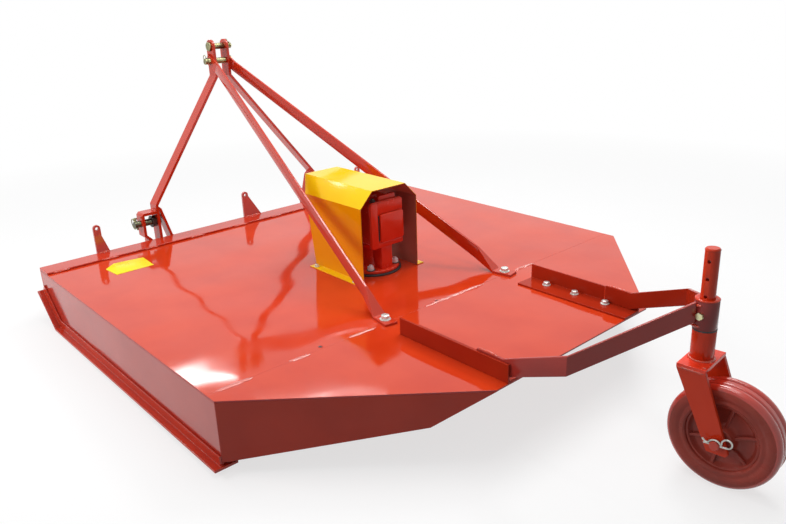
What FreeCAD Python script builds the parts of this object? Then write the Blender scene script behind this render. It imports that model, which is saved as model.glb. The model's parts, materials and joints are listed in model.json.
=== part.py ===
import FreeCAD, Part

import math
import os

import Sketcher

# Rotary mower for a tractor's three-point linkage: a flat six-sided deck on two runners and a
# tail wheel, a mast of flat bar, a gearbox under a sheet shield and a rotor with two swinging blades.
# Millimetres. The machine is drawn with its deck level: +X forwards, +Y to the left, +Z up,
# z = 0 on top of the deck, x = 0 where the side plates end at the rear. At the end it is pitched
# about Y until its runners and its tail wheel stand on one floor, with its origin on that floor.

Vector = FreeCAD.Vector

SIZES = {
    # deck and skirt
    "deck_width": 1800,
    "deck_length": 1350,
    "taper_length": 465,
    "seam_forward": 40,
    "rear_width": 710,
    "deck_sheet": 5,
    "skirt_sheet": 5,
    "skirt_depth": 193,
    "rear_skirt_depth": 185,
    "rear_skirt_end": 104,
    "rear_skirt_run": 354,
    "shaft_opening": 140,
    # front rail
    "rail_width": 88,
    "rail_depth": 70,
    "rail_sheet": 8,
    # runners
    "runner_width": 70,
    "runner_overhang": 27,
    "runner_sheet": 8,
    "runner_tail": 8,
    "runner_setback": 145,
    "toe_length": 182,
    "toe_angle": 40,
    "upright_height": 30,
    "upright_sheet": 6,
    # front lugs
    "lug_height": 116,
    "lug_head": 29,
    "lug_sheet": 10,
    "lug_hole": 12,
    "side_lug_inset": 220,
    "side_lug_base": 52,
    "side_lug_shoulder": 78,
    "middle_lug_edge": 4,
    "middle_lug_base": 88,
    "middle_lug_shoulder": 103,
    # hitch
    "bar_width": 56,
    "bar_sheet": 12,
    "hitch_inner": 402,
    "hitch_gap": 54,
    "hitch_foot": 60,
    "hitch_bend": 147,
    "strap_top": 124,
    "strap_knee": 30,
    "strap_tuck": 20,
    "strap_corner": 10,
    "gusset_top": 130,
    "gusset_spread": 34,
    "lower_pin": 28,
    "lower_pin_height": 77,
    "mast_ahead": 74,
    "ear_gap": 52,
    "ear_bend": 635,
    "ear_top": 785,
    "top_pin": 25.4,
    "top_pin_height": 757,
    "second_pin_height": 697,
    # braces
    "brace_width": 44,
    "brace_sheet": 8,
    "brace_foot": 48,
    "brace_spread": 282,
    "brace_reach": 57,
    "foot_length": 72,
    "foot_hole": 18,
    "twist_length": 90,
    "brace_bend": 55,
    # gearbox
    "rotor_forward": 440,
    "box_length": 156,
    "box_width": 132,
    "box_bottom": 104,
    "box_top": 268,
    "box_corner": 16,
    "cover_sheet": 12,
    "cover_lip": 4,
    "neck_diameter": 84,
    "rib_width": 52,
    "base_width": 176,
    "base_corner": 40,
    "base_sheet": 16,
    "mount_width": 300,
    "mount_sheet": 10,
    "input_height": 180,
    "input_shaft": 34.9,
    "input_length": 95,
    "input_seat": 24,
    "end_gap": 5,
    "spline_depth": 2.4,
    "spline_width": 8.6,
    "boss_diameter": 108,
    "boss_length": 20,
    # shield
    "shield_rear": 336,
    "shield_foot": 279,
    "shield_half": 130,
    "shield_side": 268,
    "shield_roof": 322,
    "roof_half": 76,
    "shield_sheet": 3,
    "shield_lean": 40,
    "roof_lean": 110,
    "shield_flange": 30,
    # tail frame
    "angle_front": 52,
    "angle_half": 312,
    "angle_height": 54,
    "angle_flange": 80,
    "angle_sheet": 6,
    "arm_height": 54,
    "arm_sheet": 8,
    "arm_front": 350,
    "arm_rise": 440,
    "arm_bend": 625,
    "arm_tuck": 21,
    "arm_bend_height": 105,
    "arm_end_height": 218,
    # tail wheel
    "caster_back": 815,
    "caster_yaw": 5,
    "caster_lean": 1,
    "stem_diameter": 35,
    "stem_top": 374,
    "stem_hole": 9,
    "stem_hole_top": 343,
    "stem_hole_pitch": 44,
    "collar_diameter": 57,
    "collar_bottom": 168,
    "collar_top": 246,
    "running_gap": 0.08,
    "pin_play": 0.5,
    "yoke_top": 90,
    "yoke_sheet": 10,
    "yoke_length": 72,
    "yoke_width": 127,
    "leg_end": 30,
    "trail": 78,
    "axle_drop": 92,
    "axle_diameter": 25,
    "axle_stub": 16,
    "wheel_diameter": 276,
    "tyre_width": 78,
    "rim_diameter": 176,
    "hub_diameter": 70,
    "hub_width": 95,
    "web_sheet": 12,
    # rotor
    "rotor_shaft": 50,
    "shaft_end": 38,
    "shaft_rise": 60,
    "hub_flange": 130,
    "hub_boss": 64,
    "pan_level": 127,
    "pan_diameter": 840,
    "pan_flat": 788,
    "pan_rim": 28,
    "pan_sheet": 6,
    "bar_length": 776,
    "bar_across": 110,
    "bar_depth": 14,
    "nut_diameter": 72,
    "nut_height": 22,
    "blade_pivot": 350,
    "blade_clearance": 50,
    "blade_tail": 48,
    "blade_width": 90,
    "blade_sheet": 12,
    "blade_gap": 6,
    "blade_pin": 30,
    "blade_bolt": 27,
    "bolt_head": 56,
}

doc = FreeCAD.newDocument("rotary_mower")
sheet = doc.addObject("Spreadsheet::Sheet", "Sizes")
for row, (alias, number) in enumerate(SIZES.items(), start=1):
    sheet.set("A%d" % row, alias)
    sheet.set("B%d" % row, str(number))
    sheet.setAlias("B%d" % row, alias)
doc.recompute()


class Size:
    """A dimension kept as the expression that binds it to the sheet and as its present number."""

    def __init__(self, text, number):
        self.text = text
        self.number = float(number)

    def __add__(self, other):
        return join(self, "+", other, self.number + number_of(other))

    def __radd__(self, other):
        return join(other, "+", self, number_of(other) + self.number)

    def __sub__(self, other):
        return join(self, "-", other, self.number - number_of(other))

    def __rsub__(self, other):
        return join(other, "-", self, number_of(other) - self.number)

    def __mul__(self, other):
        return join(self, "*", other, self.number * number_of(other))

    def __rmul__(self, other):
        return join(other, "*", self, number_of(other) * self.number)

    def __truediv__(self, other):
        return join(self, "/", other, self.number / number_of(other))

    def __neg__(self):
        return Size("(0 - %s)" % self.text, -self.number)


def number_of(value):
    return value.number if isinstance(value, Size) else float(value)


def text_of(value):
    return value.text if isinstance(value, Size) else "(%s)" % repr(float(value))


def join(left, sign, right, number):
    return Size("(%s %s %s)" % (text_of(left), sign, text_of(right)), number)


def tangent(angle):
    return Size("tan(%s * 1 deg)" % text_of(angle), math.tan(math.radians(number_of(angle))))


def cosine(angle):
    return Size("cos(%s * 1 deg)" % text_of(angle), math.cos(math.radians(number_of(angle))))


def sine(angle):
    return Size("sin(%s * 1 deg)" % text_of(angle), math.sin(math.radians(number_of(angle))))


def size(alias):
    return Size("Sizes.%s" % alias, sheet.get(alias))


def bind(thing, field, value):
    """Bind a property to the sheet."""
    thing.setExpression(field, text_of(value))


def at(x, y, z):
    return Vector(number_of(x), number_of(y), number_of(z))


def turned(axis, degrees, place=None):
    return FreeCAD.Placement(place or Vector(), FreeCAD.Rotation(axis, number_of(degrees)))


X_AXIS, Y_AXIS, Z_AXIS = Vector(1, 0, 0), Vector(0, 1, 0), Vector(0, 0, 1)
SIDES = (("left", 1), ("right", -1))
NODES = {}


def keep(node, thing):
    """Name an object as one node of the machine."""
    thing.Label = node
    NODES[node] = thing
    return thing


# --- sketches and bodies ---------------------------------------------------------------------

def new_body(node):
    return keep(node, doc.addObject("PartDesign::Body", node))


def new_sketch(body, plane, offset=0):
    """A sketch on one of the body's own origin planes, raised by an offset along its normal."""
    sketch = body.newObject("Sketcher::SketchObject", body.Name + "_sketch")
    support = [feature for feature in body.Origin.OriginFeatures if feature.Role == plane][0]
    sketch.AttachmentSupport = [(support, "")]
    sketch.MapMode = "FlatFace"
    if number_of(offset):
        sketch.AttachmentOffset = FreeCAD.Placement(at(0, 0, offset), FreeCAD.Rotation())
        bind(sketch, "AttachmentOffset.Base.z", offset)
    return sketch


def pin_point(sketch, geometry, point, across, up):
    """Fix a point of the sketch at a distance across and up from the sketch's origin."""
    for kind, value in (("DistanceX", across), ("DistanceY", up)):
        constraint = Sketcher.Constraint(kind, -1, 1, geometry, point, number_of(value))
        index = sketch.addConstraint(constraint)
        if isinstance(value, Size):
            bind(sketch, "Constraints[%d]" % index, value)


def draw_outline(sketch, corners):
    """A closed polygon through the corners."""
    first = sketch.GeometryCount
    count = len(corners)
    spots = [at(across, up, 0) for across, up in corners]
    for index in range(count):
        sketch.addGeometry(Part.LineSegment(spots[index], spots[(index + 1) % count]), False)
    for index in range(count):
        joint = Sketcher.Constraint("Coincident", first + index, 2, first + (index + 1) % count, 1)
        sketch.addConstraint(joint)
    for index, (across, up) in enumerate(corners):
        pin_point(sketch, first + index, 1, across, up)


def draw_circle(sketch, across, up, diameter):
    geometry = sketch.GeometryCount
    sketch.addGeometry(Part.Circle(at(across, up, 0), Z_AXIS, number_of(diameter) / 2), False)
    pin_point(sketch, geometry, 3, across, up)
    index = sketch.addConstraint(Sketcher.Constraint("Diameter", geometry, number_of(diameter)))
    if isinstance(diameter, Size):
        bind(sketch, "Constraints[%d]" % index, diameter)


def pad(body, sketch, length, middle=False, back=False):
    """Extrude a sketch along its normal, against it, or to both sides of it."""
    feature = body.newObject("PartDesign::Pad", body.Name + "_pad")
    feature.Profile = sketch
    feature.Length = number_of(length)
    if isinstance(length, Size):
        bind(feature, "Length", length)
    feature.Midplane = middle
    feature.Reversed = back
    sketch.Visibility = False
    doc.recompute()
    return feature


def pocket(body, sketch, depth=None):
    """Cut a sketch into the body against its normal, right through if no depth is given."""
    feature = body.newObject("PartDesign::Pocket", body.Name + "_pocket")
    feature.Profile = sketch
    if depth is None:
        feature.Type = "ThroughAll"
        feature.Midplane = True
    else:
        feature.Length = number_of(depth)
        bind(feature, "Length", depth)
    sketch.Visibility = False
    doc.recompute()
    return feature


def revolve(body, sketch):
    """Turn a sketch about its own upright axis."""
    feature = body.newObject("PartDesign::Revolution", body.Name + "_turned")
    feature.Profile = sketch
    feature.ReferenceAxis = (sketch, ["V_Axis"])
    feature.Angle = 360
    doc.recompute()
    return feature


def plate(node, plane, corners, thickness, holes=(), middle=False, place=None):
    """A flat plate: one outline, round holes as (across, up, diameter), one thickness."""
    body = new_body(node)
    sketch = new_sketch(body, plane)
    draw_outline(sketch, corners)
    for across, up, diameter in holes:
        draw_circle(sketch, across, up, diameter)
    pad(body, sketch, thickness, middle=middle)
    if place is not None:
        body.Placement = place
    return body


def turning(node, corners, place=None):
    """A round piece: a profile of (radius, height) corners turned about Z."""
    body = new_body(node)
    sketch = new_sketch(body, "XZ_Plane")
    draw_outline(sketch, corners)
    revolve(body, sketch)
    if place is not None:
        body.Placement = place
    return body


def ring(outer, inner, low, high):
    """The profile of a plain tube or bush."""
    return [(inner / 2, low), (outer / 2, low), (outer / 2, high), (inner / 2, high)]


# --- bent flat bars --------------------------------------------------------------------------

def bar_section(centre, half_width, half_sheet):
    corners = [
        centre + half_width + half_sheet,
        centre - half_width + half_sheet,
        centre - half_width - half_sheet,
        centre + half_width - half_sheet,
    ]
    return Part.makePolygon(corners + corners[:1])


def mitred_bar(points, width_axis, width, thickness):
    """A flat bar bent along a route, its sections mitred at each bend."""
    half = number_of(thickness) / 2
    half_width = width_axis * (number_of(width) / 2)
    runs = [(after - before).normalize() for before, after in zip(points, points[1:])]
    normals = [run.cross(width_axis).normalize() for run in runs]
    sections = []
    for index, point in enumerate(points):
        before = normals[max(index - 1, 0)]
        after = normals[min(index, len(normals) - 1)]
        half_sheet = (before + after) * (half / (1 + before.dot(after)))
        sections.append(bar_section(point, half_width, half_sheet))
    return Part.makeLoft(sections, True, True)


def drilled(shape, place, axis, diameter, depth):
    """Cut a round hole centred on a place."""
    radius = number_of(diameter) / 2
    reach = number_of(depth)
    return shape.cut(Part.makeCylinder(radius, reach, place - axis * (reach / 2), axis))


def shaped(node, shape):
    feature = doc.addObject("Part::Feature", node)
    feature.Shape = shape
    return keep(node, feature)


# --- deck ------------------------------------------------------------------------------------

deck_half = size("deck_width") / 2
rear_half = size("rear_width") / 2
deck_sheet = size("deck_sheet")
skirt_sheet = size("skirt_sheet")
runner_bend = size("deck_length") - size("runner_setback")


def make_deck():
    """Two sheets that meet in a seam just ahead of where the deck starts to taper."""
    length = size("deck_length")
    taper = size("taper_length")
    place = FreeCAD.Placement(at(0, 0, -deck_sheet), FreeCAD.Rotation())
    edge = length - size("rail_sheet")
    seam = size("seam_forward")
    front = [(seam, -deck_half), (edge, -deck_half), (edge, deck_half), (seam, deck_half)]
    opening = [(size("rotor_forward"), 0, size("shaft_opening"))]
    plate("front_deck_sheet", "XY_Plane", front, deck_sheet, opening, place=place)
    rear = [(0, -deck_half), (seam, -deck_half), (seam, deck_half), (0, deck_half),
            (-taper, rear_half), (-taper, -rear_half)]
    plate("rear_deck_sheet", "XY_Plane", rear, deck_sheet, place=place)


def make_side_plates():
    """The sides hang under the deck's edges; the toe of the runner sets their front corner."""
    length = size("deck_length") - size("rail_sheet")
    depth = size("skirt_depth")
    corner = runner_bend - size("runner_sheet") * tangent(size("toe_angle") / 2)
    front_low = (length - corner) * tangent(size("toe_angle")) - depth
    outline = [(0, -deck_sheet), (0, -depth), (corner, -depth), (length, front_low),
               (length, -deck_sheet)]
    for side, sign in SIDES:
        outer = deck_half if sign > 0 else skirt_sheet - deck_half
        place = FreeCAD.Placement(at(0, outer, 0), FreeCAD.Rotation())
        plate(side + "_side_plate", "XZ_Plane", outline, skirt_sheet, place=place)


def make_rear_plates():
    """The tapering sides: shallower to the rear, then cut off to the deck's rear corner."""
    back = size("taper_length")
    slant = math.hypot(deck_half.number - rear_half.number, back.number) / back.number
    wall = skirt_sheet * slant
    low = size("rear_skirt_depth")
    knee = -size("rear_skirt_run")
    for side, sign in SIDES:
        body = new_body(side + "_rear_plate")
        plan = new_sketch(body, "XY_Plane", -deck_sheet)
        outline = [(0, deck_half), (-back, rear_half), (-back, rear_half - wall), (0, deck_half - wall)]
        draw_outline(plan, [(across, up * sign) for across, up in outline])
        pad(body, plan, low - deck_sheet, back=True)
        below = new_sketch(body, "XZ_Plane")
        draw_outline(below, [(0, -low), (knee, -size("rear_skirt_end")), (-back, -deck_sheet),
                             (-back - 10, -deck_sheet), (-back - 10, -low - 10), (0, -low - 10)])
        pocket(body, below)


def make_front_rail():
    """An angle along the front: one leg lies on the deck, the other hangs before its edge."""
    length = size("deck_length")
    rail = size("rail_sheet")
    rear = length - size("rail_width")
    outline = [(rear, 0), (length - rail, 0), (length - rail, -size("rail_depth")),
               (length, -size("rail_depth")), (length, rail), (rear, rail)]
    plate("front_rail", "XZ_Plane", outline, size("deck_width"), middle=True)


def make_runners():
    """Flat runners under the side plates, turned up at the toe, each with an upright strip."""
    depth = size("skirt_depth")
    sheet_ = size("runner_sheet")
    angle = size("toe_angle")
    toe = size("toe_length")
    tail = size("runner_tail")
    mitre = tangent(angle / 2)
    corner = runner_bend - sheet_ * mitre
    tip_x = runner_bend + toe * cosine(angle)
    tip_z = toe * sine(angle) - depth - sheet_
    lean_x = sheet_ * sine(angle)
    lean_z = sheet_ * cosine(angle)
    sole = [(-tail, -depth - sheet_), (runner_bend, -depth - sheet_), (tip_x, tip_z),
            (tip_x - lean_x, tip_z + lean_z), (corner, -depth), (-tail, -depth)]
    high = size("upright_height")
    high_corner = corner - high * mitre
    upright = [(0, -depth), (corner, -depth), (tip_x - lean_x, tip_z + lean_z),
               (tip_x - lean_x - high * sine(angle), tip_z + lean_z + high * cosine(angle)),
               (high_corner, high - depth), (0, high - depth)]
    for side, sign in SIDES:
        outer = deck_half + size("runner_overhang")
        if sign < 0:
            outer = size("runner_width") - outer
        body = new_body(side + "_runner")
        sketch = new_sketch(body, "XZ_Plane")
        draw_outline(sketch, sole)
        pad(body, sketch, size("runner_width"))
        inset = size("runner_overhang") - size("upright_sheet")
        if sign < 0:
            inset = size("runner_width") - size("runner_overhang")
        strip = new_sketch(body, "XZ_Plane", inset)
        draw_outline(strip, upright)
        pad(body, strip, size("upright_sheet"))
        body.Placement = FreeCAD.Placement(at(0, outer, 0), FreeCAD.Rotation())


def make_lug(name, edge, inward, base, shoulder):
    """A drilled lug: upright on one side, sloping on the other from its round head to its foot."""
    rail = size("rail_sheet")
    sheet_ = size("lug_sheet")
    head = size("lug_head")
    across = -inward * head / 2
    centre = rail + size("lug_height") - head / 2
    outline = [(0, rail), (0, centre), (-inward * head, centre), (-inward * head, shoulder),
               (-inward * base, rail)]
    body = new_body(name)
    sketch = new_sketch(body, "YZ_Plane")
    draw_outline(sketch, outline)
    pad(body, sketch, sheet_)
    crown = new_sketch(body, "YZ_Plane")
    draw_circle(crown, across, centre, head)
    pad(body, crown, sheet_)
    hole = new_sketch(body, "YZ_Plane")
    draw_circle(hole, across, centre, size("lug_hole"))
    pocket(body, hole)
    place = at(size("deck_length") - sheet_, edge, 0)
    body.Placement = FreeCAD.Placement(place, FreeCAD.Rotation())


def make_lugs():
    """Three lugs stand across the front; the outer two mirror each other."""
    edge = deck_half - size("side_lug_inset")
    for side, sign in SIDES:
        make_lug(side + "_front_lug", edge * sign, sign, size("side_lug_base"),
                 size("side_lug_shoulder"))
    make_lug("middle_front_lug", size("middle_lug_edge"), 1, size("middle_lug_base"),
             size("middle_lug_shoulder"))


# --- hitch and mast --------------------------------------------------------------------------

hitch_forward = size("deck_length") + size("bar_width") / 2
mast_forward = size("deck_length") + size("mast_ahead")


def make_mast():
    """Each leg is one flat bar from the lower hitch up to its round ear, with two bends."""
    bar = size("bar_sheet")
    ear_y = size("ear_gap").number / 2 + bar.number / 2
    low_y = size("hitch_inner").number
    hitch_x = hitch_forward.number
    mast_x = mast_forward.number
    top = size("ear_top").number
    half = size("bar_width").number / 2
    reach = size("ear_gap").number + 8 * bar.number
    for side, sign in SIDES:
        route = [
            Vector(hitch_x, sign * low_y, -size("hitch_foot").number),
            Vector(hitch_x, sign * low_y, size("hitch_bend").number),
            Vector(mast_x, sign * ear_y, size("ear_bend").number),
            Vector(mast_x, sign * ear_y, top),
        ]
        shape = mitred_bar(route, X_AXIS, size("bar_width"), bar)
        corner = Vector(mast_x - half, -reach / 2, top - half)
        square = Part.makeBox(2 * half, reach, half, corner)
        crown = Part.makeCylinder(half, reach, Vector(mast_x, -reach / 2, top - half), Y_AXIS)
        shape = shape.cut(square.cut(crown))
        for height in (size("top_pin_height"), size("second_pin_height")):
            place = at(mast_x, 0, height)
            shape = drilled(shape, place, Y_AXIS, size("top_pin") + size("pin_play"), reach)
        low = at(hitch_x, sign * low_y, size("lower_pin_height"))
        shape = drilled(shape, low, Y_AXIS, size("lower_pin") + size("pin_play"), 3 * bar.number)
        shaped(side + "_mast_leg", shape)


def make_hitch_straps():
    """Outside each leg a strap carries the other end of the lower pin, its foot tucked in."""
    bar = size("bar_sheet")
    inner = size("hitch_inner") + bar / 2
    outer = inner + size("hitch_gap")
    top = size("strap_top")
    corner = size("strap_corner")
    knee = size("strap_knee")
    tuck = size("strap_tuck")
    foot = -size("hitch_foot")
    for side, sign in SIDES:
        body = new_body(side + "_hitch_strap")
        sketch = new_sketch(body, "YZ_Plane")
        outline = [(inner, top - bar), (outer, top - bar), (outer, knee), (outer - tuck, knee - tuck),
                   (outer - tuck, foot), (outer + bar - tuck, foot),
                   (outer + bar - tuck, knee - tuck - bar / 2), (outer + bar, knee - bar / 2),
                   (outer + bar, top - corner), (outer + bar - corner, top), (inner, top)]
        draw_outline(sketch, [(across * sign, up) for across, up in outline])
        pad(body, sketch, size("bar_width"), middle=True)
        hole = new_sketch(body, "XZ_Plane")
        draw_circle(hole, 0, size("lower_pin_height"), size("lower_pin") + size("pin_play"))
        pocket(body, hole)
        body.Placement = FreeCAD.Placement(at(hitch_forward, 0, 0), FreeCAD.Rotation())


def make_gussets():
    """Inside each leg a sloping flat bar props it against the front rail."""
    bar = size("bar_sheet")
    leg_face = size("hitch_inner") - bar / 2
    top = size("gusset_top")
    rail_top = size("rail_sheet")
    foot = leg_face - size("gusset_spread")
    low = -size("hitch_foot") / 2
    shift = (foot - leg_face) * (rail_top - low) / (top - rail_top)
    for side, sign in SIDES:
        outline = [(leg_face, top), (foot, rail_top), (foot + shift, low),
                   (foot + shift - bar, low), (foot - bar, rail_top), (leg_face - bar, top),
                   (leg_face, top + bar)]
        place = FreeCAD.Placement(at(size("deck_length"), 0, 0), FreeCAD.Rotation())
        plate(side + "_leg_gusset", "YZ_Plane", [(across * sign, up) for across, up in outline],
              size("bar_width"), place=place)


def cross_pin(node, diameter, x, z, y_low, y_high, head, head_sheet, head_side):
    """A headed pin along Y: a shank from y_low to y_high with its head beyond y_high.

    With head_side -1 the whole pin is mirrored in Y.
    """
    corners = [(0, y_low), (diameter / 2, y_low), (diameter / 2, y_high), (head / 2, y_high),
               (head / 2, y_high + head_sheet), (0, y_high + head_sheet)]
    place = FreeCAD.Placement(at(x, 0, z), FreeCAD.Rotation(X_AXIS, -90 * head_side))
    return turning(node, corners, place)


def make_pins():
    """The lower pins enter from inside; of the mast's two pins the lower enters from the right."""
    bar = size("bar_sheet")
    inner = size("hitch_inner") - bar / 2
    outer = size("hitch_inner") + bar * 1.5 + size("hitch_gap")
    for side, sign in SIDES:
        cross_pin(side + "_lower_pin", size("lower_pin"), hitch_forward, size("lower_pin_height"),
                  -outer - 26, -inner, 36, 8, -sign)
    ear = size("ear_gap") / 2 + bar
    brace = ear + size("brace_sheet") + 0.5
    for node, height, grip, head_side in (("top_link_pin", "top_pin_height", ear + 0.5, 1),
                                          ("mast_lower_pin", "second_pin_height", brace, -1)):
        cross_pin(node, size("top_pin"), mast_forward, size(height), -grip - 22, grip, 38, 8,
                  head_side)


def make_braces():
    """Flat bars on edge from the ears to the deck, twisted flat at their bolted feet."""
    half = size("brace_width").number / 2
    thin = size("brace_sheet").number / 2
    half_foot = size("foot_length").number / 2
    foot_y = size("brace_spread").number
    ear_y = size("ear_gap").number / 2 + size("bar_sheet").number + thin
    for side, sign in SIDES:
        top = Vector(mast_forward.number, sign * ear_y, size("second_pin_height").number)
        foot = Vector(size("brace_foot").number, sign * foot_y, thin)
        plan = Vector(top.x - foot.x, top.y - foot.y, 0).normalize()
        reach = foot + plan * (size("brace_reach").number - foot.x)
        slope = (top - reach).normalize()
        ahead = Vector(slope.x, 0, slope.z).normalize()
        knee = reach + slope * (half_foot + size("twist_length").number)
        bend = top - slope * size("brace_bend").number
        bend.y = top.y
        level = Vector(-plan.y, plan.x, 0)
        upright = slope.cross(level)
        upright_ahead = ahead.cross(Y_AXIS)
        sections = [
            bar_section(top + ahead * half, upright_ahead * half, Y_AXIS * thin),
            bar_section(bend, upright_ahead * half, Y_AXIS * thin),
            bar_section(knee, upright * half, level * thin),
            bar_section(foot + plan * half_foot, level * -sign * half, Z_AXIS * sign * thin),
            bar_section(foot - plan * half_foot, level * -sign * half, Z_AXIS * sign * thin),
        ]
        shape = Part.makeLoft(sections, True, True)
        shape = drilled(shape, Vector(foot.x, foot.y, 0), Z_AXIS, size("foot_hole"), 60)
        shape = drilled(shape, top, Y_AXIS, size("top_pin") + size("pin_play"), 60)
        shaped(side + "_brace", shape)


# --- gearbox and its shield ------------------------------------------------------------------

def gearbox_outline(grow):
    """The gearbox seen from behind, a rectangle with cut corners, grown all round."""
    half = size("box_width") / 2 + grow
    low = size("box_bottom") - grow
    high = size("box_top") + grow
    cut = size("box_corner")
    return [(-half, low + cut), (-half + cut, low), (half - cut, low), (half, low + cut),
            (half, high - cut), (half - cut, high), (-half + cut, high), (-half, high - cut)]


def make_gearbox():
    """A right-angle gearbox: a box with a rear cover, on a ribbed neck with a square flange."""
    centre = size("rotor_forward")
    half = size("box_length") / 2
    place = FreeCAD.Placement(at(centre, 0, 0), FreeCAD.Rotation())
    body = new_body("gearbox_housing")
    sketch = new_sketch(body, "YZ_Plane")
    draw_outline(sketch, gearbox_outline(0))
    pad(body, sketch, size("box_length"), middle=True)
    boss = new_sketch(body, "YZ_Plane", half)
    draw_circle(boss, 0, size("input_height"), size("boss_diameter"))
    pad(body, boss, size("boss_length"))
    seat = new_sketch(body, "YZ_Plane", half + size("boss_length"))
    draw_circle(seat, 0, size("input_height"), size("input_shaft") + size("running_gap") * 2)
    pocket(body, seat, size("input_seat") + size("end_gap"))
    body.Placement = place
    rear = FreeCAD.Placement(at(centre - half - size("cover_sheet"), 0, 0), FreeCAD.Rotation())
    plate("gearbox_cover", "YZ_Plane", gearbox_outline(size("cover_lip")), size("cover_sheet"),
          place=rear)
    body = new_body("gearbox_base")
    foot = size("base_width") / 2
    cut = size("base_corner")
    flange = new_sketch(body, "XY_Plane")
    draw_outline(flange, [(-foot, -foot + cut), (-foot + cut, -foot), (foot - cut, -foot),
                          (foot, -foot + cut), (foot, foot - cut), (foot - cut, foot),
                          (-foot + cut, foot), (-foot, foot - cut)])
    pad(body, flange, size("base_sheet"))
    neck = new_sketch(body, "XY_Plane")
    draw_circle(neck, 0, 0, size("neck_diameter"))
    pad(body, neck, size("box_bottom"))
    rib = new_sketch(body, "XY_Plane")
    half_rib = size("rib_width") / 2
    draw_outline(rib, [(-half, -half_rib), (0, -half_rib), (0, half_rib), (-half, half_rib)])
    pad(body, rib, size("box_bottom"))
    bore = new_sketch(body, "XY_Plane", size("box_bottom"))
    draw_circle(bore, 0, 0, size("rotor_shaft") + size("running_gap") * 2)
    pocket(body, bore)
    body.Placement = place
    wide = size("mount_width") / 2
    square = [(-wide, -wide), (wide, -wide), (wide, wide), (-wide, wide)]
    under = FreeCAD.Placement(at(centre, 0, -deck_sheet - size("mount_sheet")), FreeCAD.Rotation())
    plate("gearbox_mount", "XY_Plane", square, size("mount_sheet"),
          [(0, 0, size("shaft_opening"))], place=under)


def make_shield():
    """One folded sheet over the gearbox, open to the front and the rear, with bolted flanges."""
    rear = size("shield_rear").number
    front = rear + size("shield_foot").number
    half = size("shield_half").number
    side_z = size("shield_side").number
    roof_z = size("shield_roof").number
    roof_y = size("roof_half").number
    thick = size("shield_sheet").number
    wide = size("shield_flange").number
    outline = [(half + wide, 0), (half + wide, thick), (half, thick), (half, side_z),
               (roof_y, roof_z), (-roof_y, roof_z), (-half, side_z), (-half, thick),
               (-half - wide, thick), (-half - wide, 0)]
    inner = [(-half + thick, 0), (-half + thick, side_z - thick * 0.4),
             (-roof_y + thick * 0.4, roof_z - thick), (roof_y - thick * 0.4, roof_z - thick),
             (half - thick, side_z - thick * 0.4), (half - thick, 0)]
    corners = [Vector(rear, y, z) for y, z in outline + inner]
    face = Part.Face(Part.makePolygon(corners + corners[:1]))
    long_reach = size("roof_lean").number + size("shield_foot").number
    shape = face.extrude(Vector(long_reach, 0, 0))
    lean = size("shield_lean").number
    profile = [Vector(front, 0, -1), Vector(front + lean, 0, side_z),
               Vector(rear + long_reach, 0, roof_z), Vector(rear + long_reach + 50, 0, roof_z + 50),
               Vector(rear + long_reach + 50, 0, -1)]
    trim = Part.Face(Part.makePolygon(profile + profile[:1])).extrude(Vector(0, 4 * half, 0))
    trim.translate(Vector(0, -2 * half, 0))
    shaped("gearbox_shield", shape.cut(trim).removeSplitter())


def make_input_shaft():
    """The splined stub that the drive shaft slides on."""
    face = size("box_length") / 2 + size("boss_length")
    seat = size("input_seat")
    length = size("input_length")
    radius = size("input_shaft") / 2
    root = radius - size("spline_depth")
    half_tooth = size("spline_width") / 2
    profile = [(0, -seat), (radius, -seat), (radius, 14), (root, 14), (root, length - 3),
               (root - 3, length), (0, length)]
    place = FreeCAD.Placement(at(size("rotor_forward") + face, 0, size("input_height")),
                              FreeCAD.Rotation(Y_AXIS, 90))
    body = turning("input_shaft", profile, place)
    for index in range(6):
        sketch = new_sketch(body, "XY_Plane", 14)
        turn = index * 60
        low = root.number - 1.5
        high = math.sqrt(radius.number ** 2 - half_tooth.number ** 2)
        corners = [(low, -half_tooth.number), (high, -half_tooth.number),
                   (high, half_tooth.number), (low, half_tooth.number)]
        spots = [turned(Z_AXIS, turn).multVec(Vector(out, side, 0)) for out, side in corners]
        draw_outline(sketch, [(spot.x, spot.y) for spot in spots])
        pad(body, sketch, length - 20)


# --- tail frame ------------------------------------------------------------------------------

def swivel_place():
    """The swivel axis, which leans forwards a little at its top."""
    lean = FreeCAD.Rotation(Y_AXIS, size("caster_lean").number)
    return FreeCAD.Placement(at(-size("caster_back"), 0, 0), lean)


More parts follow.
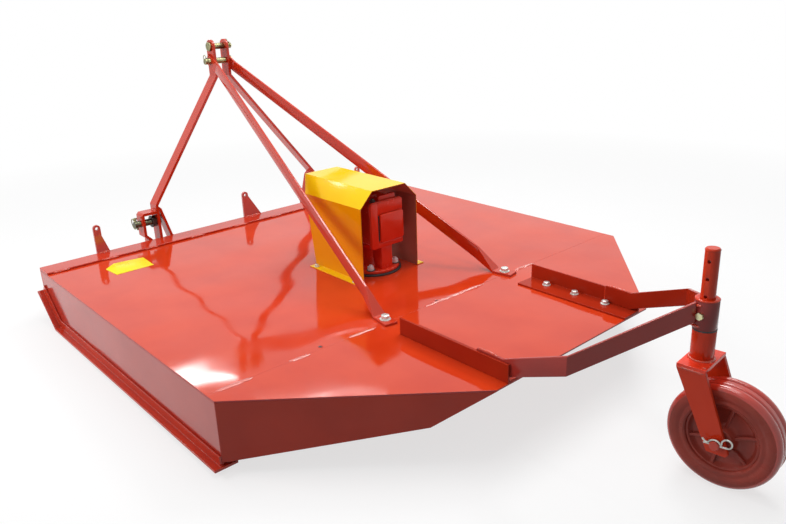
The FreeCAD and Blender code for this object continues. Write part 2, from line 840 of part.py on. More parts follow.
def make_tail_frame():
    """Two angles bolted to the deck and two bent arms that carry the tail wheel's collar."""
    half = size("angle_half")
    angle_sheet = size("angle_sheet")
    section = [(0, 0), (0, size("angle_height")), (-angle_sheet, size("angle_height")),
               (-angle_sheet, angle_sheet), (-size("angle_flange"), angle_sheet),
               (-size("angle_flange"), 0)]
    swivel = swivel_place()
    collar_r = size("collar_diameter").number / 2
    collar = swivel.multVec(at(0, 0, size("arm_end_height")))
    for side, sign in SIDES:
        place = FreeCAD.Placement(at(-size("taper_length"), half * sign, 0), FreeCAD.Rotation())
        outline = [(across * sign, up) for across, up in section]
        long_side = size("taper_length") - size("angle_front")
        plate(side + "_tail_angle", "YZ_Plane", outline, long_side, place=place)
        arm_sheet = size("arm_sheet")
        arm_y = half.number - angle_sheet.number - arm_sheet.number / 2
        arm_z = angle_sheet.number + size("arm_height").number / 2
        bend_y = half.number - size("arm_tuck").number
        bend = Vector(-size("arm_bend").number, sign * bend_y, size("arm_bend_height").number)
        inward = Vector(collar.x - bend.x, -bend.y, 0).normalize()
        end = collar - inward * (collar_r * 0.6)
        route = [
            Vector(-size("arm_front").number, sign * arm_y, arm_z),
            Vector(-size("arm_rise").number, sign * arm_y, arm_z),
            bend,
            end,
        ]
        shape = mitred_bar(route, Z_AXIS, size("arm_height"), arm_sheet)
        axis = swivel.Rotation.multVec(Z_AXIS)
        core = Part.makeCylinder(collar_r, 400, swivel.Base, axis)
        shaped(side + "_tail_arm", shape.cut(core))
    bore = size("stem_diameter") + size("running_gap") * 2
    profile = ring(size("collar_diameter"), bore, size("collar_bottom"), size("collar_top"))
    turning("caster_collar", profile, swivel)


# --- tail wheel ------------------------------------------------------------------------------

def caster_place(height=0, turn=None):
    """A placement on the swivel axis, yawed with the tail wheel."""
    yaw = FreeCAD.Rotation(Z_AXIS, size("caster_yaw").number)
    rotation = yaw.multiply(turn) if turn else yaw
    return swivel_place().multiply(FreeCAD.Placement(at(0, 0, height), rotation))


def make_caster():
    """The stem turns in the collar; under it a sleeve, a yoke and the wheel that trails."""
    stem_r = size("stem_diameter") / 2
    top = size("stem_top")
    yoke_top = size("yoke_top")
    body = turning("caster_stem", [(0, yoke_top), (stem_r, yoke_top), (stem_r, top - 3),
                                   (stem_r - 3, top), (0, top)])
    holes = new_sketch(body, "XZ_Plane")
    for index in range(3):
        height = size("stem_hole_top") - size("stem_hole_pitch") * index
        draw_circle(holes, 0, height, size("stem_hole"))
    pocket(body, holes)
    body.Placement = caster_place()
    sleeve_top = size("collar_bottom") - 0.5
    bore = size("stem_diameter") + 0.1
    turning("caster_sleeve", ring(size("collar_diameter"), bore, yoke_top, sleeve_top), caster_place())
    yoke = size("yoke_sheet")
    half_l = size("yoke_length") / 2
    half_w = size("yoke_width") / 2
    outline = [(-half_l, -half_w), (half_l, -half_w), (half_l, half_w), (-half_l, half_w)]
    plate("yoke_plate", "XY_Plane", outline, yoke, place=caster_place(yoke_top - yoke))
    trail = size("trail")
    drop = size("axle_drop")
    low = drop + size("leg_end")
    leg = [(half_l, yoke_top - yoke), (-half_l, yoke_top - yoke), (-trail - 30, 8 - low),
           (-trail - 24, -low), (-trail + 22, -low)]
    for side, sign in SIDES:
        outer = half_w if sign > 0 else yoke - half_w
        place = caster_place()
        place.Base = place.multVec(at(0, outer, 0))
        hole = [(-trail, -drop, size("axle_diameter"))]
        plate(side + "_yoke_leg", "XZ_Plane", leg, yoke, hole, place=place)


def wheel_place():
    place = caster_place(-size("axle_drop"))
    axle = FreeCAD.Placement(at(-size("trail"), 0, 0), FreeCAD.Rotation(X_AXIS, -90))
    return place.multiply(axle)


def make_wheel():
    """A ribbed tyre on a dished wheel that turns on a fixed axle."""
    place = wheel_place()
    reach = size("yoke_width") / 2 + size("axle_stub")
    axle_r = size("axle_diameter") / 2
    turning("wheel_axle", [(0, -reach), (axle_r - 2, -reach), (axle_r, 2 - reach), (axle_r, reach - 2),
                           (axle_r - 2, reach), (0, reach)], place)
    half = size("tyre_width") / 2
    tread = size("wheel_diameter") / 2
    rim = size("rim_diameter") / 2
    groove = 5
    profile = [(rim, 4 - half), (tread - 8, -half), (tread, 11 - half),
               (tread, -15), (tread - groove, -11), (tread, -7),
               (tread, 7), (tread - groove, 11), (tread, 15),
               (tread, half - 11), (tread - 8, half), (rim, half - 4)]
    turning("wheel_tyre", profile, place)
    hub = size("hub_diameter") / 2
    hub_half = size("hub_width") / 2
    web = size("web_sheet") / 2
    bore = axle_r + size("running_gap")
    profile = [(bore, -hub_half), (hub, -hub_half), (hub + 6, -web), (rim - 12, -web),
               (rim - 8, 4 - half), (rim, 4 - half), (rim, half - 4), (rim - 8, half - 4),
               (rim - 12, web), (hub + 6, web), (hub, hub_half), (bore, hub_half)]
    turning("wheel_hub", profile, place)


# --- rotor -----------------------------------------------------------------------------------

def make_rotor():
    """Under the deck the output shaft carries a bar and a pan with two blades on pins."""
    centre = FreeCAD.Placement(at(size("rotor_forward"), 0, 0), FreeCAD.Rotation(Z_AXIS, 90))
    shaft = size("rotor_shaft") / 2
    end = size("shaft_end") / 2
    boss = size("hub_boss") / 2
    flange = size("hub_flange") / 2
    pan_top = -size("pan_level")
    pan_low = pan_top - size("pan_sheet")
    bar_top = pan_top + size("bar_depth")
    nut_low = pan_low - size("nut_height")
    under_deck = -deck_sheet - size("mount_sheet") - 5
    turning("rotor_shaft", [(0, nut_low), (end, nut_low), (end, bar_top), (flange, bar_top),
                            (flange, bar_top + 12), (boss, bar_top + 12), (boss, under_deck),
                            (shaft, under_deck), (shaft, size("shaft_rise")),
                            (0, size("shaft_rise"))], centre)
    pivot = size("blade_pivot")
    bolt = size("blade_bolt")
    half_l = size("bar_length") / 2
    half_w = size("bar_across") / 2
    outline = [(-half_l, -half_w), (half_l, -half_w), (half_l, half_w), (-half_l, half_w)]
    bolts = [(pivot, 0, bolt + size("pin_play")), (-pivot, 0, bolt + size("pin_play"))]
    place = centre.multiply(FreeCAD.Placement(at(0, 0, pan_top), FreeCAD.Rotation()))
    plate("blade_bar", "XY_Plane", outline, size("bar_depth"),
          bolts + [(0, 0, size("shaft_end"))], place=place)
    flat = size("pan_flat") / 2
    radius = size("pan_diameter") / 2
    rim = size("pan_rim")
    pan = turning("blade_pan", [(end, pan_low), (flat, pan_low), (radius, pan_low + rim),
                                (radius, pan_top + rim), (flat - 2, pan_top), (end, pan_top)])
    holes = new_sketch(pan, "XY_Plane", pan_top)
    for across, up, diameter in bolts:
        draw_circle(holes, across, up, diameter)
    pocket(pan, holes)
    pan.Placement = centre
    turning("rotor_nut", ring(size("nut_diameter"), size("shaft_end"), nut_low, pan_low), centre)
    blade_top = pan_low - size("blade_gap")
    blade_low = blade_top - size("blade_sheet")
    pin = size("blade_pin") / 2
    head = size("bolt_head") / 2
    for side, turn in (("left", 0), ("right", 180)):
        spin = FreeCAD.Placement(Vector(), FreeCAD.Rotation(Z_AXIS, turn))
        place = centre.multiply(spin).multiply(FreeCAD.Placement(at(pivot, 0, 0), FreeCAD.Rotation()))
        turning(side + "_blade_bolt", [(0, blade_low - 14), (head, blade_low - 14),
                                       (head, blade_low - 0.5), (pin, blade_low - 0.5),
                                       (pin, blade_top + 0.5), (head, blade_top + 0.5),
                                       (head, pan_low), (bolt / 2, pan_low),
                                       (bolt / 2, bar_top), (head - 4, bar_top),
                                       (head - 4, bar_top + 22), (0, bar_top + 22)], place)
        tip = deck_half - skirt_sheet - size("blade_clearance") - pivot
        tail = size("blade_tail")
        half = size("blade_width") / 2
        shape = [(-tail, -half), (tip, -half), (tip, half), (-tail, half)]
        low = place.multiply(FreeCAD.Placement(at(0, 0, blade_low), FreeCAD.Rotation()))
        plate(side + "_blade", "XY_Plane", shape, size("blade_sheet"),
              [(0, 0, size("blade_pin") + size("running_gap") * 2)], place=low)


make_deck()
make_side_plates()
make_rear_plates()
make_front_rail()
make_runners()
make_lugs()
make_mast()
make_hitch_straps()
make_gussets()
make_pins()
make_braces()
make_gearbox()
make_shield()
make_input_shaft()
make_tail_frame()
make_caster()
make_wheel()
make_rotor()
doc.recompute()


def stance():
    """Pitch the machine about Y until the runners' bends and the tail wheel share a floor."""
    wheel = wheel_place().Base
    front_x = runner_bend.number
    front_z = -size("skirt_depth").number - size("runner_sheet").number
    radius = size("wheel_diameter").number / 2
    along = front_x - wheel.x
    up = wheel.z - front_z
    pitch = math.asin(radius / math.hypot(along, up)) - math.atan2(up, along)
    return FreeCAD.Placement(Vector(), FreeCAD.Rotation(Y_AXIS, math.degrees(pitch)))


for thing in doc.Objects:
    wrong = [state for state in thing.State if state in ("Invalid", "Error")]
    if wrong:
        raise RuntimeError("%s: %s" % (thing.Label, wrong))

pitched = stance()
shapes = {}
for node, thing in NODES.items():
    shape = thing.Shape.copy()
    if shape.isNull() or not shape.isValid() or len(shape.Solids) != 1:
        raise RuntimeError("%s: bad shape" % node)
    shape.Placement = pitched.multiply(shape.Placement)
    shapes[node] = shape

box = Part.makeCompound(list(shapes.values())).optimalBoundingBox(False, False)
to_floor = Vector(-(box.XMin + box.XMax) / 2, -(box.YMin + box.YMax) / 2, -box.ZMin)
pitched.Base = to_floor
os.makedirs("parts", exist_ok=True)
for node, shape in shapes.items():
    shape.Placement = FreeCAD.Placement(to_floor, FreeCAD.Rotation()).multiply(shape.Placement)
    shape.exportStep(os.path.join("parts", node + ".step"))


def show_point(name, x, y, z):
    spot = pitched.multVec(at(x, y, z))
    print("POINT %s %.3f %.3f %.3f" % (name, spot.x, spot.y, spot.z))


def show_way(name, way):
    spot = pitched.Rotation.multVec(way)
    print("WAY %s %.6f %.6f %.6f" % (name, spot.x, spot.y, spot.z))


rotor_x = size("rotor_forward")
show_point("origin", 0, 0, 0)
show_point("rotor", rotor_x, 0, 0)
for side, sign in SIDES:
    show_point(side + "_blade", rotor_x, size("blade_pivot") * sign, -size("pan_level"))
show_point("input", rotor_x + size("box_length") / 2 + size("boss_length"), 0, size("input_height"))
swivel = swivel_place()
collar = swivel.multVec(at(0, 0, size("collar_bottom")))
show_point("caster", collar.x, collar.y, collar.z)
hub = wheel_place()
show_point("wheel", hub.Base.x, hub.Base.y, hub.Base.z)
show_way("x", X_AXIS)
show_way("y", Y_AXIS)
show_way("z", Z_AXIS)
show_way("caster", swivel.Rotation.multVec(Z_AXIS))
show_way("wheel", hub.Rotation.multVec(Z_AXIS))
mass = 0
for node, shape in shapes.items():
    mass += shape.Volume * 7.85e-6
    print("NODE", node, round(shape.Volume))
print("STEEL", round(mass, 1))
print("BOX", [round(value, 3) for value in (box.XLength, box.YLength, box.ZLength)])
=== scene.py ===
import json
import math
import random

import bmesh
import bpy
from mathutils import Matrix, Vector, noise


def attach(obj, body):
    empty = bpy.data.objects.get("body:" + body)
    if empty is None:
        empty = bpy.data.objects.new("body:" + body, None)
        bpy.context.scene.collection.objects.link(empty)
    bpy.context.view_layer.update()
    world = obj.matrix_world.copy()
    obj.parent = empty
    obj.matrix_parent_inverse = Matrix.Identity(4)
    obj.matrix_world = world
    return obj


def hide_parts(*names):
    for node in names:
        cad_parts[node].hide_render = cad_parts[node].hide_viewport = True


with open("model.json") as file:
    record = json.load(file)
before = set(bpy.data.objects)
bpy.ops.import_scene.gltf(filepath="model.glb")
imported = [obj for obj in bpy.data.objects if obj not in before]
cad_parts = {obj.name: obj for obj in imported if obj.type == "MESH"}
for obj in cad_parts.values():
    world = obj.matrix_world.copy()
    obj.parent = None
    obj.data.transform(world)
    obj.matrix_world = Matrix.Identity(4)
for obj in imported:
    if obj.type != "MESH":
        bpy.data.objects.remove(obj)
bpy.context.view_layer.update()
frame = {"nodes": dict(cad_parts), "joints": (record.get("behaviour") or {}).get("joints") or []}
nodes = frame["nodes"]
joints = {joint["name"]: joint for joint in frame["joints"]}
SEED = 11
dice = random.Random(SEED)
noise.seed_set(SEED)
MM = 0.001
SIDES = (("left", 1), ("right", -1))

# --- the machine's own directions ---
# Details are placed in millimetres on the deck: x forwards from the rear end of the side plates,
# y to the left, z up from the top of the deck.


def axes(x_way, y_way, z_way, origin, scale=1.0):
    """A matrix that takes local points, times a scale, to the machine's frame in metres."""
    rows = [[x_way[i] * scale, y_way[i] * scale, z_way[i] * scale, origin[i]] for i in range(3)]
    return Matrix(rows + [[0, 0, 0, 1]])


def lowest(node, way):
    """How far along a direction a CAD node begins."""
    return min(vertex.co.dot(way) for vertex in nodes[node].data.vertices)


def highest(node, way):
    """How far along a direction a CAD node ends."""
    return max(vertex.co.dot(way) for vertex in nodes[node].data.vertices)


UP = Vector(joints["rotor_spin"]["axis"]).normalized()
LEFT = Vector((0, 1, 0))
AHEAD = LEFT.cross(UP)
deck_origin = AHEAD * lowest("left_side_plate", AHEAD) + UP * highest("front_deck_sheet", UP)
DECK = axes(AHEAD, LEFT, UP, deck_origin, MM)


def joint_axes(name, y_way):
    """Millimetres about a joint: z along its axis and y as near as can be to y_way."""
    z_way = Vector(joints[name]["axis"]).normalized()
    x_way = y_way.cross(z_way).normalized()
    return axes(x_way, z_way.cross(x_way), z_way, Vector(joints[name]["pos_m"]), MM)


WHEEL_AXIS = Vector(joints["tail_wheel_roll"]["axis"]).normalized()
CASTER = joint_axes("caster_swivel", WHEEL_AXIS)
ROTOR = joint_axes("rotor_spin", LEFT)
HUB_UP = Vector(joints["caster_swivel"]["axis"]).normalized()
HUB = axes(WHEEL_AXIS.cross(HUB_UP), WHEEL_AXIS, HUB_UP,
           Vector(joints["tail_wheel_roll"]["pos_m"]), MM)


def span(node, place=DECK):
    """The lowest and highest corner of a CAD node in millimetres of a local frame."""
    local = place.inverted()
    spots = [local @ vertex.co for vertex in nodes[node].data.vertices]
    low = Vector([min(spot[i] for spot in spots) for i in range(3)])
    high = Vector([max(spot[i] for spot in spots) for i in range(3)])
    return low, high


def out_from_middle(node):
    """How far from the middle plane a node of one side begins and ends."""
    low, high = span(node)
    return sorted((abs(low.y), abs(high.y)))


# --- materials ---

def make(tree, kind, inputs=None, **settings):
    """A shader node with its settings and its input values."""
    thing = tree.nodes.new(kind)
    for name, value in settings.items():
        setattr(thing, name, value)
    for name, value in (inputs or {}).items():
        if isinstance(value, bpy.types.NodeSocket):
            tree.links.new(value, thing.inputs[name])
        else:
            thing.inputs[name].default_value = value
    return thing


def maths(tree, operation, *values, clamp=False):
    """The result of a Math node."""
    return make(tree, "ShaderNodeMath", dict(enumerate(values)), operation=operation,
                use_clamp=clamp).outputs[0]


def vector_maths(tree, operation, *values):
    """The result of a Vector Math node, which is a number for a dot product or a length."""
    thing = make(tree, "ShaderNodeVectorMath", dict(enumerate(values)), operation=operation)
    return thing.outputs["Value" if operation in ("DOT_PRODUCT", "LENGTH") else "Vector"]


def grain(tree, spot, scale, detail=2.0, roughness=0.5):
    """Noise over the object's own coordinates, its scale in cycles a metre."""
    return make(tree, "ShaderNodeTexNoise", {"Vector": spot, "Scale": scale, "Detail": detail,
                                             "Roughness": roughness}).outputs["Fac"]


def remap(tree, value, low, high, to_low, to_high):
    """A value moved from one range to another and kept inside that one."""
    thing = make(tree, "ShaderNodeMapRange", {"Value": value, "From Min": low, "From Max": high,
                                              "To Min": to_low, "To Max": to_high})
    return thing.outputs["Result"]


def blend(tree, factor, first, second):
    """The first colour at factor 0, the second at 1; sockets 6, 7 and 2 are the colours'."""
    return make(tree, "ShaderNodeMix", {0: factor, 6: first, 7: second},
                data_type="RGBA").outputs[2]


def bumped(tree, height, distance, over=None):
    """A surface raised by a height of up to a distance in metres, over another such surface."""
    thing = make(tree, "ShaderNodeBump", {"Height": height, "Distance": distance, "Strength": 1.0})
    if over is not None:
        tree.links.new(over, thing.inputs["Normal"])
    return thing.outputs["Normal"]


def rgba(colour):
    """An opaque colour as the shader sockets take it."""
    return (*colour, 1.0)


def started(name):
    """A new material, its tree, its shader and the object's own coordinates."""
    material = bpy.data.materials.new(name)
    material.use_nodes = True
    tree = material.node_tree
    spot = make(tree, "ShaderNodeTexCoord").outputs["Object"]
    return material, tree, tree.nodes["Principled BSDF"], spot


DUST = (0.33, 0.24, 0.19)


def enamel(name, colour, deep, gloss, wave, wave_scale, peel=0.0, coat=0.0, dust=0.0, shine=0.5):
    """Sprayed gloss paint on steel: an uneven film over sheet that isn't quite flat."""
    material, tree, shader, spot = started(name)
    cloud = grain(tree, spot, 5.0, 3.0)
    tone = blend(tree, remap(tree, cloud, 0.35, 0.65, 0.0, 1.0), rgba(deep), rgba(colour))
    if dust:
        film = grain(tree, spot, 38.0, 5.0, 0.65)
        tone = blend(tree, remap(tree, film, 0.45, 0.75, 0.0, dust), tone, rgba(DUST))
    tree.links.new(tone, shader.inputs["Base Color"])
    haze = grain(tree, spot, 11.0, 4.0, 0.6)
    rough = remap(tree, haze, 0.3, 0.7, gloss * 0.6, gloss * 1.5)
    tree.links.new(rough, shader.inputs["Roughness"])
    shader.inputs["Specular IOR Level"].default_value = shine
    shader.inputs["Coat Weight"].default_value = coat
    shader.inputs["Coat Roughness"].default_value = 0.03
    normal = bumped(tree, grain(tree, spot, wave_scale, 0.0), wave)
    if peel:
        normal = bumped(tree, grain(tree, spot, 260.0, 1.0), peel, normal)
    tree.links.new(normal, shader.inputs["Normal"])
    tree.links.new(normal, shader.inputs["Coat Normal"])
    return material


def metal(name, colour, stain, rough, metallic=1.0, scale=90.0, bumps=0.00015):
    """Plated, forged or ground steel with stains and fine scratches."""
    material, tree, shader, spot = started(name)
    blot = grain(tree, spot, scale, 4.0, 0.6)
    tone = blend(tree, remap(tree, blot, 0.38, 0.66, 0.0, 1.0), rgba(colour), rgba(stain))
    tree.links.new(tone, shader.inputs["Base Color"])
    fine = grain(tree, spot, scale * 5, 3.0, 0.6)
    uneven = remap(tree, fine, 0.3, 0.7, rough * 0.7, rough * 1.35)
    tree.links.new(uneven, shader.inputs["Roughness"])
    shader.inputs["Metallic"].default_value = metallic
    tree.links.new(bumped(tree, fine, bumps), shader.inputs["Normal"])
    return material


RED = (0.62, 0.046, 0.009)
RED_DEEP = (0.56, 0.035, 0.007)
deck_red = enamel("deck_enamel", RED, RED_DEEP, gloss=0.07, wave=0.0042, wave_scale=4.6,
                  shine=0.42)
bar_red = enamel("bar_enamel", (0.56, 0.034, 0.008), (0.50, 0.026, 0.006), gloss=0.13, wave=0.0012,
                 wave_scale=9.0, coat=0.1, shine=0.4)
# Painted shade: the rear plates take a darker copy of the deck's red, as they face away from the
# light.
rear_shaded_red = enamel("rear_plate_shaded_enamel", (0.52, 0.032, 0.008), (0.45, 0.026, 0.006), gloss=0.12,
                  wave=0.003, wave_scale=5.0, shine=0.25)
# Painted shade: a darker copy of the red for the left tail arm, which faces away from the light.
arm_shaded_red = enamel("arm_shaded_enamel", (0.40, 0.036, 0.026), (0.34, 0.030, 0.022), gloss=0.16, wave=0.0012,
                 wave_scale=9.0, shine=0.32)
# Painted shade: a darker copy of the red for the caster collar, which sits in shade.
collar_shaded_red = enamel("collar_shaded_enamel", (0.26, 0.028, 0.024), (0.20, 0.022, 0.02), gloss=0.14,
                    wave=0.0008, wave_scale=14.0, shine=0.25)
yoke_red = enamel("yoke_enamel", (0.62, 0.040, 0.009), (0.55, 0.032, 0.007), gloss=0.15,
                  wave=0.001, wave_scale=12.0, shine=0.2)
plate_red = enamel("plate_enamel", (0.50, 0.032, 0.014), (0.43, 0.025, 0.011), gloss=0.12,
                   wave=0.0035, wave_scale=4.0, coat=0.2, shine=0.35)
# Painted shade: a darker copy of the red for the tail angles and the right tail arm.
angle_shaded_red = enamel("angle_shaded_enamel", (0.40, 0.026, 0.007), (0.34, 0.020, 0.006), gloss=0.16,
                   wave=0.0012, wave_scale=9.0, shine=0.1)
weld_red = enamel("weld_enamel", RED, RED_DEEP, gloss=0.09, wave=0.0006, wave_scale=60.0,
                  peel=0.00005, coat=0.3)
# Painted reflection: the front lugs' red is paler and pinker, standing in for the pale sheen on
# their faces.
lug_sheen_red = enamel("lug_sheen_enamel", (0.60, 0.10, 0.08), (0.54, 0.08, 0.06), gloss=0.14, wave=0.0012,
                 wave_scale=9.0, coat=0.3)
# Painted highlight: the seam's beads are paler and pinker than the deck, standing in for glints on
# them.
seam_glint_red = enamel("seam_glint_enamel", (0.66, 0.10, 0.06), RED, gloss=0.16, wave=0.0012, wave_scale=45.0,
                  peel=0.0003, coat=1.0)
# Painted light: a brighter copy of the red for the gearbox in the shield's shade and for the yoke
# plate.
casting_lit_red = enamel("casting_lit_enamel", (0.84, 0.046, 0.014), (0.74, 0.036, 0.011), gloss=0.22,
                     wave=0.001, wave_scale=22.0, peel=0.0001, shine=0.34)
wheel_red = enamel("wheel_enamel", (0.38, 0.052, 0.034), (0.24, 0.040, 0.028), gloss=0.26,
                   wave=0.0012, wave_scale=26.0, peel=0.00006, dust=0.06, shine=0.2)
tread_red = enamel("tread_enamel", (0.58, 0.034, 0.015), (0.44, 0.028, 0.015), gloss=0.15,
                   wave=0.0012, wave_scale=30.0, peel=0.00006, coat=0.4, dust=0.05)
yellow = enamel("yellow_enamel", (0.90, 0.56, 0.002), (0.86, 0.51, 0.002), gloss=0.14,
                wave=0.003, wave_scale=4.0, shine=0.2)
label_yellow = enamel("label_film", (0.88, 0.71, 0.012), (0.86, 0.68, 0.01), gloss=0.3,
                      wave=0.001, wave_scale=9.0, peel=0.00001, shine=0.12)
zinc = metal("zinc_plate", (0.80, 0.83, 0.82), (0.62, 0.64, 0.58), 0.30, 0.55)
passivated = metal("yellow_zinc", (0.66, 0.62, 0.34), (0.50, 0.50, 0.36), 0.30)
pin_steel = metal("oiled_pin", (0.40, 0.38, 0.20), (0.16, 0.15, 0.09), 0.34)
# Painted highlight: the gearbox bolts are a white non-metal, standing in for glints of zinc in the
# shield's shade.
white_glint_bolt = metal("bolt_white_glint", (0.96, 0.98, 1.0), (0.90, 0.92, 0.94), 0.28, 0.0)
dark_pin = metal("dark_pin", (0.15, 0.15, 0.09), (0.05, 0.05, 0.04), 0.34, 0.8)
wire_steel = metal("wire_steel", (0.50, 0.50, 0.47), (0.34, 0.33, 0.30), 0.32)
black_steel = metal("black_steel", (0.045, 0.042, 0.04), (0.075, 0.062, 0.05), 0.42, 0.6, 30.0,
                    0.0004)
ground_steel = metal("ground_steel", (0.52, 0.51, 0.50), (0.36, 0.33, 0.30), 0.34, 1.0, 60.0)
# Painted shade in part: the cover slot's floor and the drain-hole discs are black for their shade;
# the collar spacer and the ring under the gearbox also take it.
shade_and_parts_black = metal("black_for_shade_and_parts", (0.02, 0.02, 0.02), (0.035, 0.03, 0.03), 0.6, 0.0, 60.0)


def line_inside(material, height, half, dark):
    """A dark brown tone on the faces of the shield that look in towards the gearbox."""
    tree = material.node_tree
    shader = tree.nodes["Principled BSDF"]
    outer = shader.inputs["Base Color"].links[0].from_socket
    normal = make(tree, "ShaderNodeNewGeometry").outputs["True Normal"]
    spot = make(tree, "ShaderNodeTexCoord").outputs["Object"]
    centred = vector_maths(tree, "SUBTRACT", spot, (0, 0, height))
    across = vector_maths(tree, "MULTIPLY", centred, (0, 1, 1))
    facing = vector_maths(tree, "DOT_PRODUCT", across, normal)
    inwards = maths(tree, "LESS_THAN", facing, -0.001)
    sideways = make(tree, "ShaderNodeSeparateXYZ", {0: spot}).outputs["Y"]
    between = maths(tree, "LESS_THAN", maths(tree, "ABSOLUTE", sideways), half)
    inside = maths(tree, "MULTIPLY", inwards, between)
    tree.links.new(blend(tree, inside, outer, rgba(dark)), shader.inputs["Base Color"])


def paint_light_on_sides(material, colour):
    """Painted light and shade: another tone on a sheet's upright faces and cut edges, for the light
    they catch or miss.
    """
    tree = material.node_tree
    shader = tree.nodes["Principled BSDF"]
    outer = shader.inputs["Base Color"].links[0].from_socket
    normal = make(tree, "ShaderNodeNewGeometry").outputs["True Normal"]
    tilt = maths(tree, "ABSOLUTE", make(tree, "ShaderNodeSeparateXYZ", {0: normal}).outputs["Z"])
    tone = blend(tree, remap(tree, tilt, 0.2, 0.5, 1.0, 0.0), outer, rgba(colour))
    tree.links.new(tone, shader.inputs["Base Color"])


# The height of the shield's middle line and half its inner width, in metres.
SHIELD_MIDDLE = 0.37
SHIELD_INNER_HALF = 0.1285
# Painted reflected light: the shield's upright faces turn orange, standing in for red light bounced
# from the deck.
paint_light_on_sides(yellow, (0.80, 0.30, 0.002))
# Painted shade: the deck sheets' cut edges are darker, standing in for their shade.
paint_light_on_sides(deck_red, (0.42, 0.011, 0.011))
line_inside(yellow, SHIELD_MIDDLE, SHIELD_INNER_HALF, (0.40, 0.13, 0.09))

# What the names of the nodes end in; any other node has the bars' paint.
BY_ENDING = (
    (deck_red, ("deck_sheet",)),
    (plate_red, ("side_plate",)),
    (rear_shaded_red, ("rear_plate",)),
    (lug_sheen_red, ("front_lug",)),
    (arm_shaded_red, ("left_tail_arm",)),
    (angle_shaded_red, ("right_tail_arm", "tail_angle")),
    (collar_shaded_red, ("caster_collar",)),
    (yoke_red, ("caster_stem", "caster_sleeve", "yoke_leg")),
    (casting_lit_red, ("yoke_plate", "gearbox_housing", "gearbox_cover", "gearbox_base")),
    (yellow, ("gearbox_shield",)),
    (wheel_red, ("wheel_tyre", "wheel_hub")),
    (ground_steel, ("input_shaft",)),
    (pin_steel, ("mast_lower_pin", "top_link_pin")),
    (dark_pin, ("left_lower_pin", "right_lower_pin")),
    (black_steel, ("rotor_shaft", "blade_bar", "blade_pan", "blade_bolt", "_blade")),
    (zinc, ("rotor_nut",)),
)


def material_for(node):
    """The material that fits the end of a node's name."""
    for material, endings in BY_ENDING:
        if node.endswith(endings):
            return material
    return bar_red


for name, thing in nodes.items():
    thing.data.materials.clear()
    thing.data.materials.append(material_for(name))


# --- rounding the edges of the CAD's steel ---

def soften(node, width):
    """Rolled or broken edges: merge the split corners, join flat faces, round what is left."""
    thing = nodes[node]
    weld = thing.modifiers.new("join", "WELD")
    weld.merge_threshold = 0.00002
    flat = thing.modifiers.new("flat", "DECIMATE")
    flat.decimate_type = "DISSOLVE"
    flat.angle_limit = math.radians(0.4)
    edge = thing.modifiers.new("edge", "BEVEL")
    edge.width = width * MM
    edge.segments = 2
    edge.limit_method = "ANGLE"
    edge.angle_limit = math.radians(32)
    edge.harden_normals = True


EDGE_WIDTHS = (
    (0.7, ("gearbox_shield",)),
    (0.8, ("_blade",)),
    (0.9, ("deck_sheet", "caster_collar", "caster_sleeve")),
    (1.0, ("_pin", "wheel_axle")),
    (1.2, ("front_lug", "leg_gusset", "rotor_nut")),
    (1.4, ("side_plate", "rear_plate", "hitch_strap", "tail_angle", "yoke_plate", "blade_bar")),
    (1.6, ("runner", "mast_leg", "yoke_leg", "caster_stem")),
    (1.8, ("tail_arm",)),
    (2.0, ("front_rail",)),
    (2.2, ("_brace",)),
    (5.0, ("gearbox_housing",)),
)
for name in nodes:
    for width, endings in EDGE_WIDTHS:
        if name.endswith(endings):
            soften(name, width)


# --- mesh parts in millimetres ---

WIRE_SIDES = 8
HEX_STEPS = 24
HEX_BEVEL = 0.55
CORNER_STEPS = 4


def polar(radius, turn, height=0.0):
    """A point at a distance from z, turned about it by an angle in radians."""
    return Vector((radius * math.cos(turn), radius * math.sin(turn), height))


def band(low, high, count):
    """The faces between two rings of as many points, given by each ring's first index."""
    afters = [(index + 1) % count for index in range(count)]
    return [[low + index, low + after, high + after, high + index]
            for index, after in enumerate(afters)]


def lathe(profile, steps=40, closed=False):
    """Turns a (radius, height) profile about z; a closed one joins its end to its start."""
    verts, rings, faces = [], [], []
    for radius, height in profile:
        count = 1 if radius < 1e-6 else steps
        rings.append((len(verts), count))
        verts += [polar(radius, 2 * math.pi * index / steps, height) for index in range(count)]
    pairs = list(zip(rings, rings[1:]))
    if closed:
        pairs.append((rings[-1], rings[0]))
    for (low, low_count), (high, high_count) in pairs:
        around = [(index, (index + 1) % steps) for index in range(steps)]
        if low_count == 1:
            faces += [[low, high + after, high + index] for index, after in around]
        elif high_count == 1:
            faces += [[low + index, low + after, high] for index, after in around]
        else:
            faces += band(low, high, steps)
    return verts, faces


def hexagon(across, low, high, bore=0.0):
    """A nut or bolt head: six flats whose top corners are turned off at 30 degrees."""
    flat = across / 2
    crown = flat * 0.94
    outline = []
    for index in range(HEX_STEPS):
        turn = 2 * math.pi * index / HEX_STEPS
        off = (turn + math.pi / 6) % (math.pi / 3) - math.pi / 6
        outline.append((turn, flat / math.cos(off)))
    verts = [polar(radius, turn, low) for turn, radius in outline]
    verts += [polar(radius, turn, high - (radius - crown) * HEX_BEVEL) for turn, radius in outline]
    verts += [polar(crown, turn, high) for turn, _ in outline]
    top = 2 * HEX_STEPS
    faces = band(0, HEX_STEPS, HEX_STEPS) + band(HEX_STEPS, top, HEX_STEPS)
    if bore:
        verts += [polar(bore / 2, turn, high) for turn, _ in outline]
        faces += band(top, top + HEX_STEPS, HEX_STEPS)
    else:
        faces.append([top + index for index in range(HEX_STEPS)])
    return verts, faces


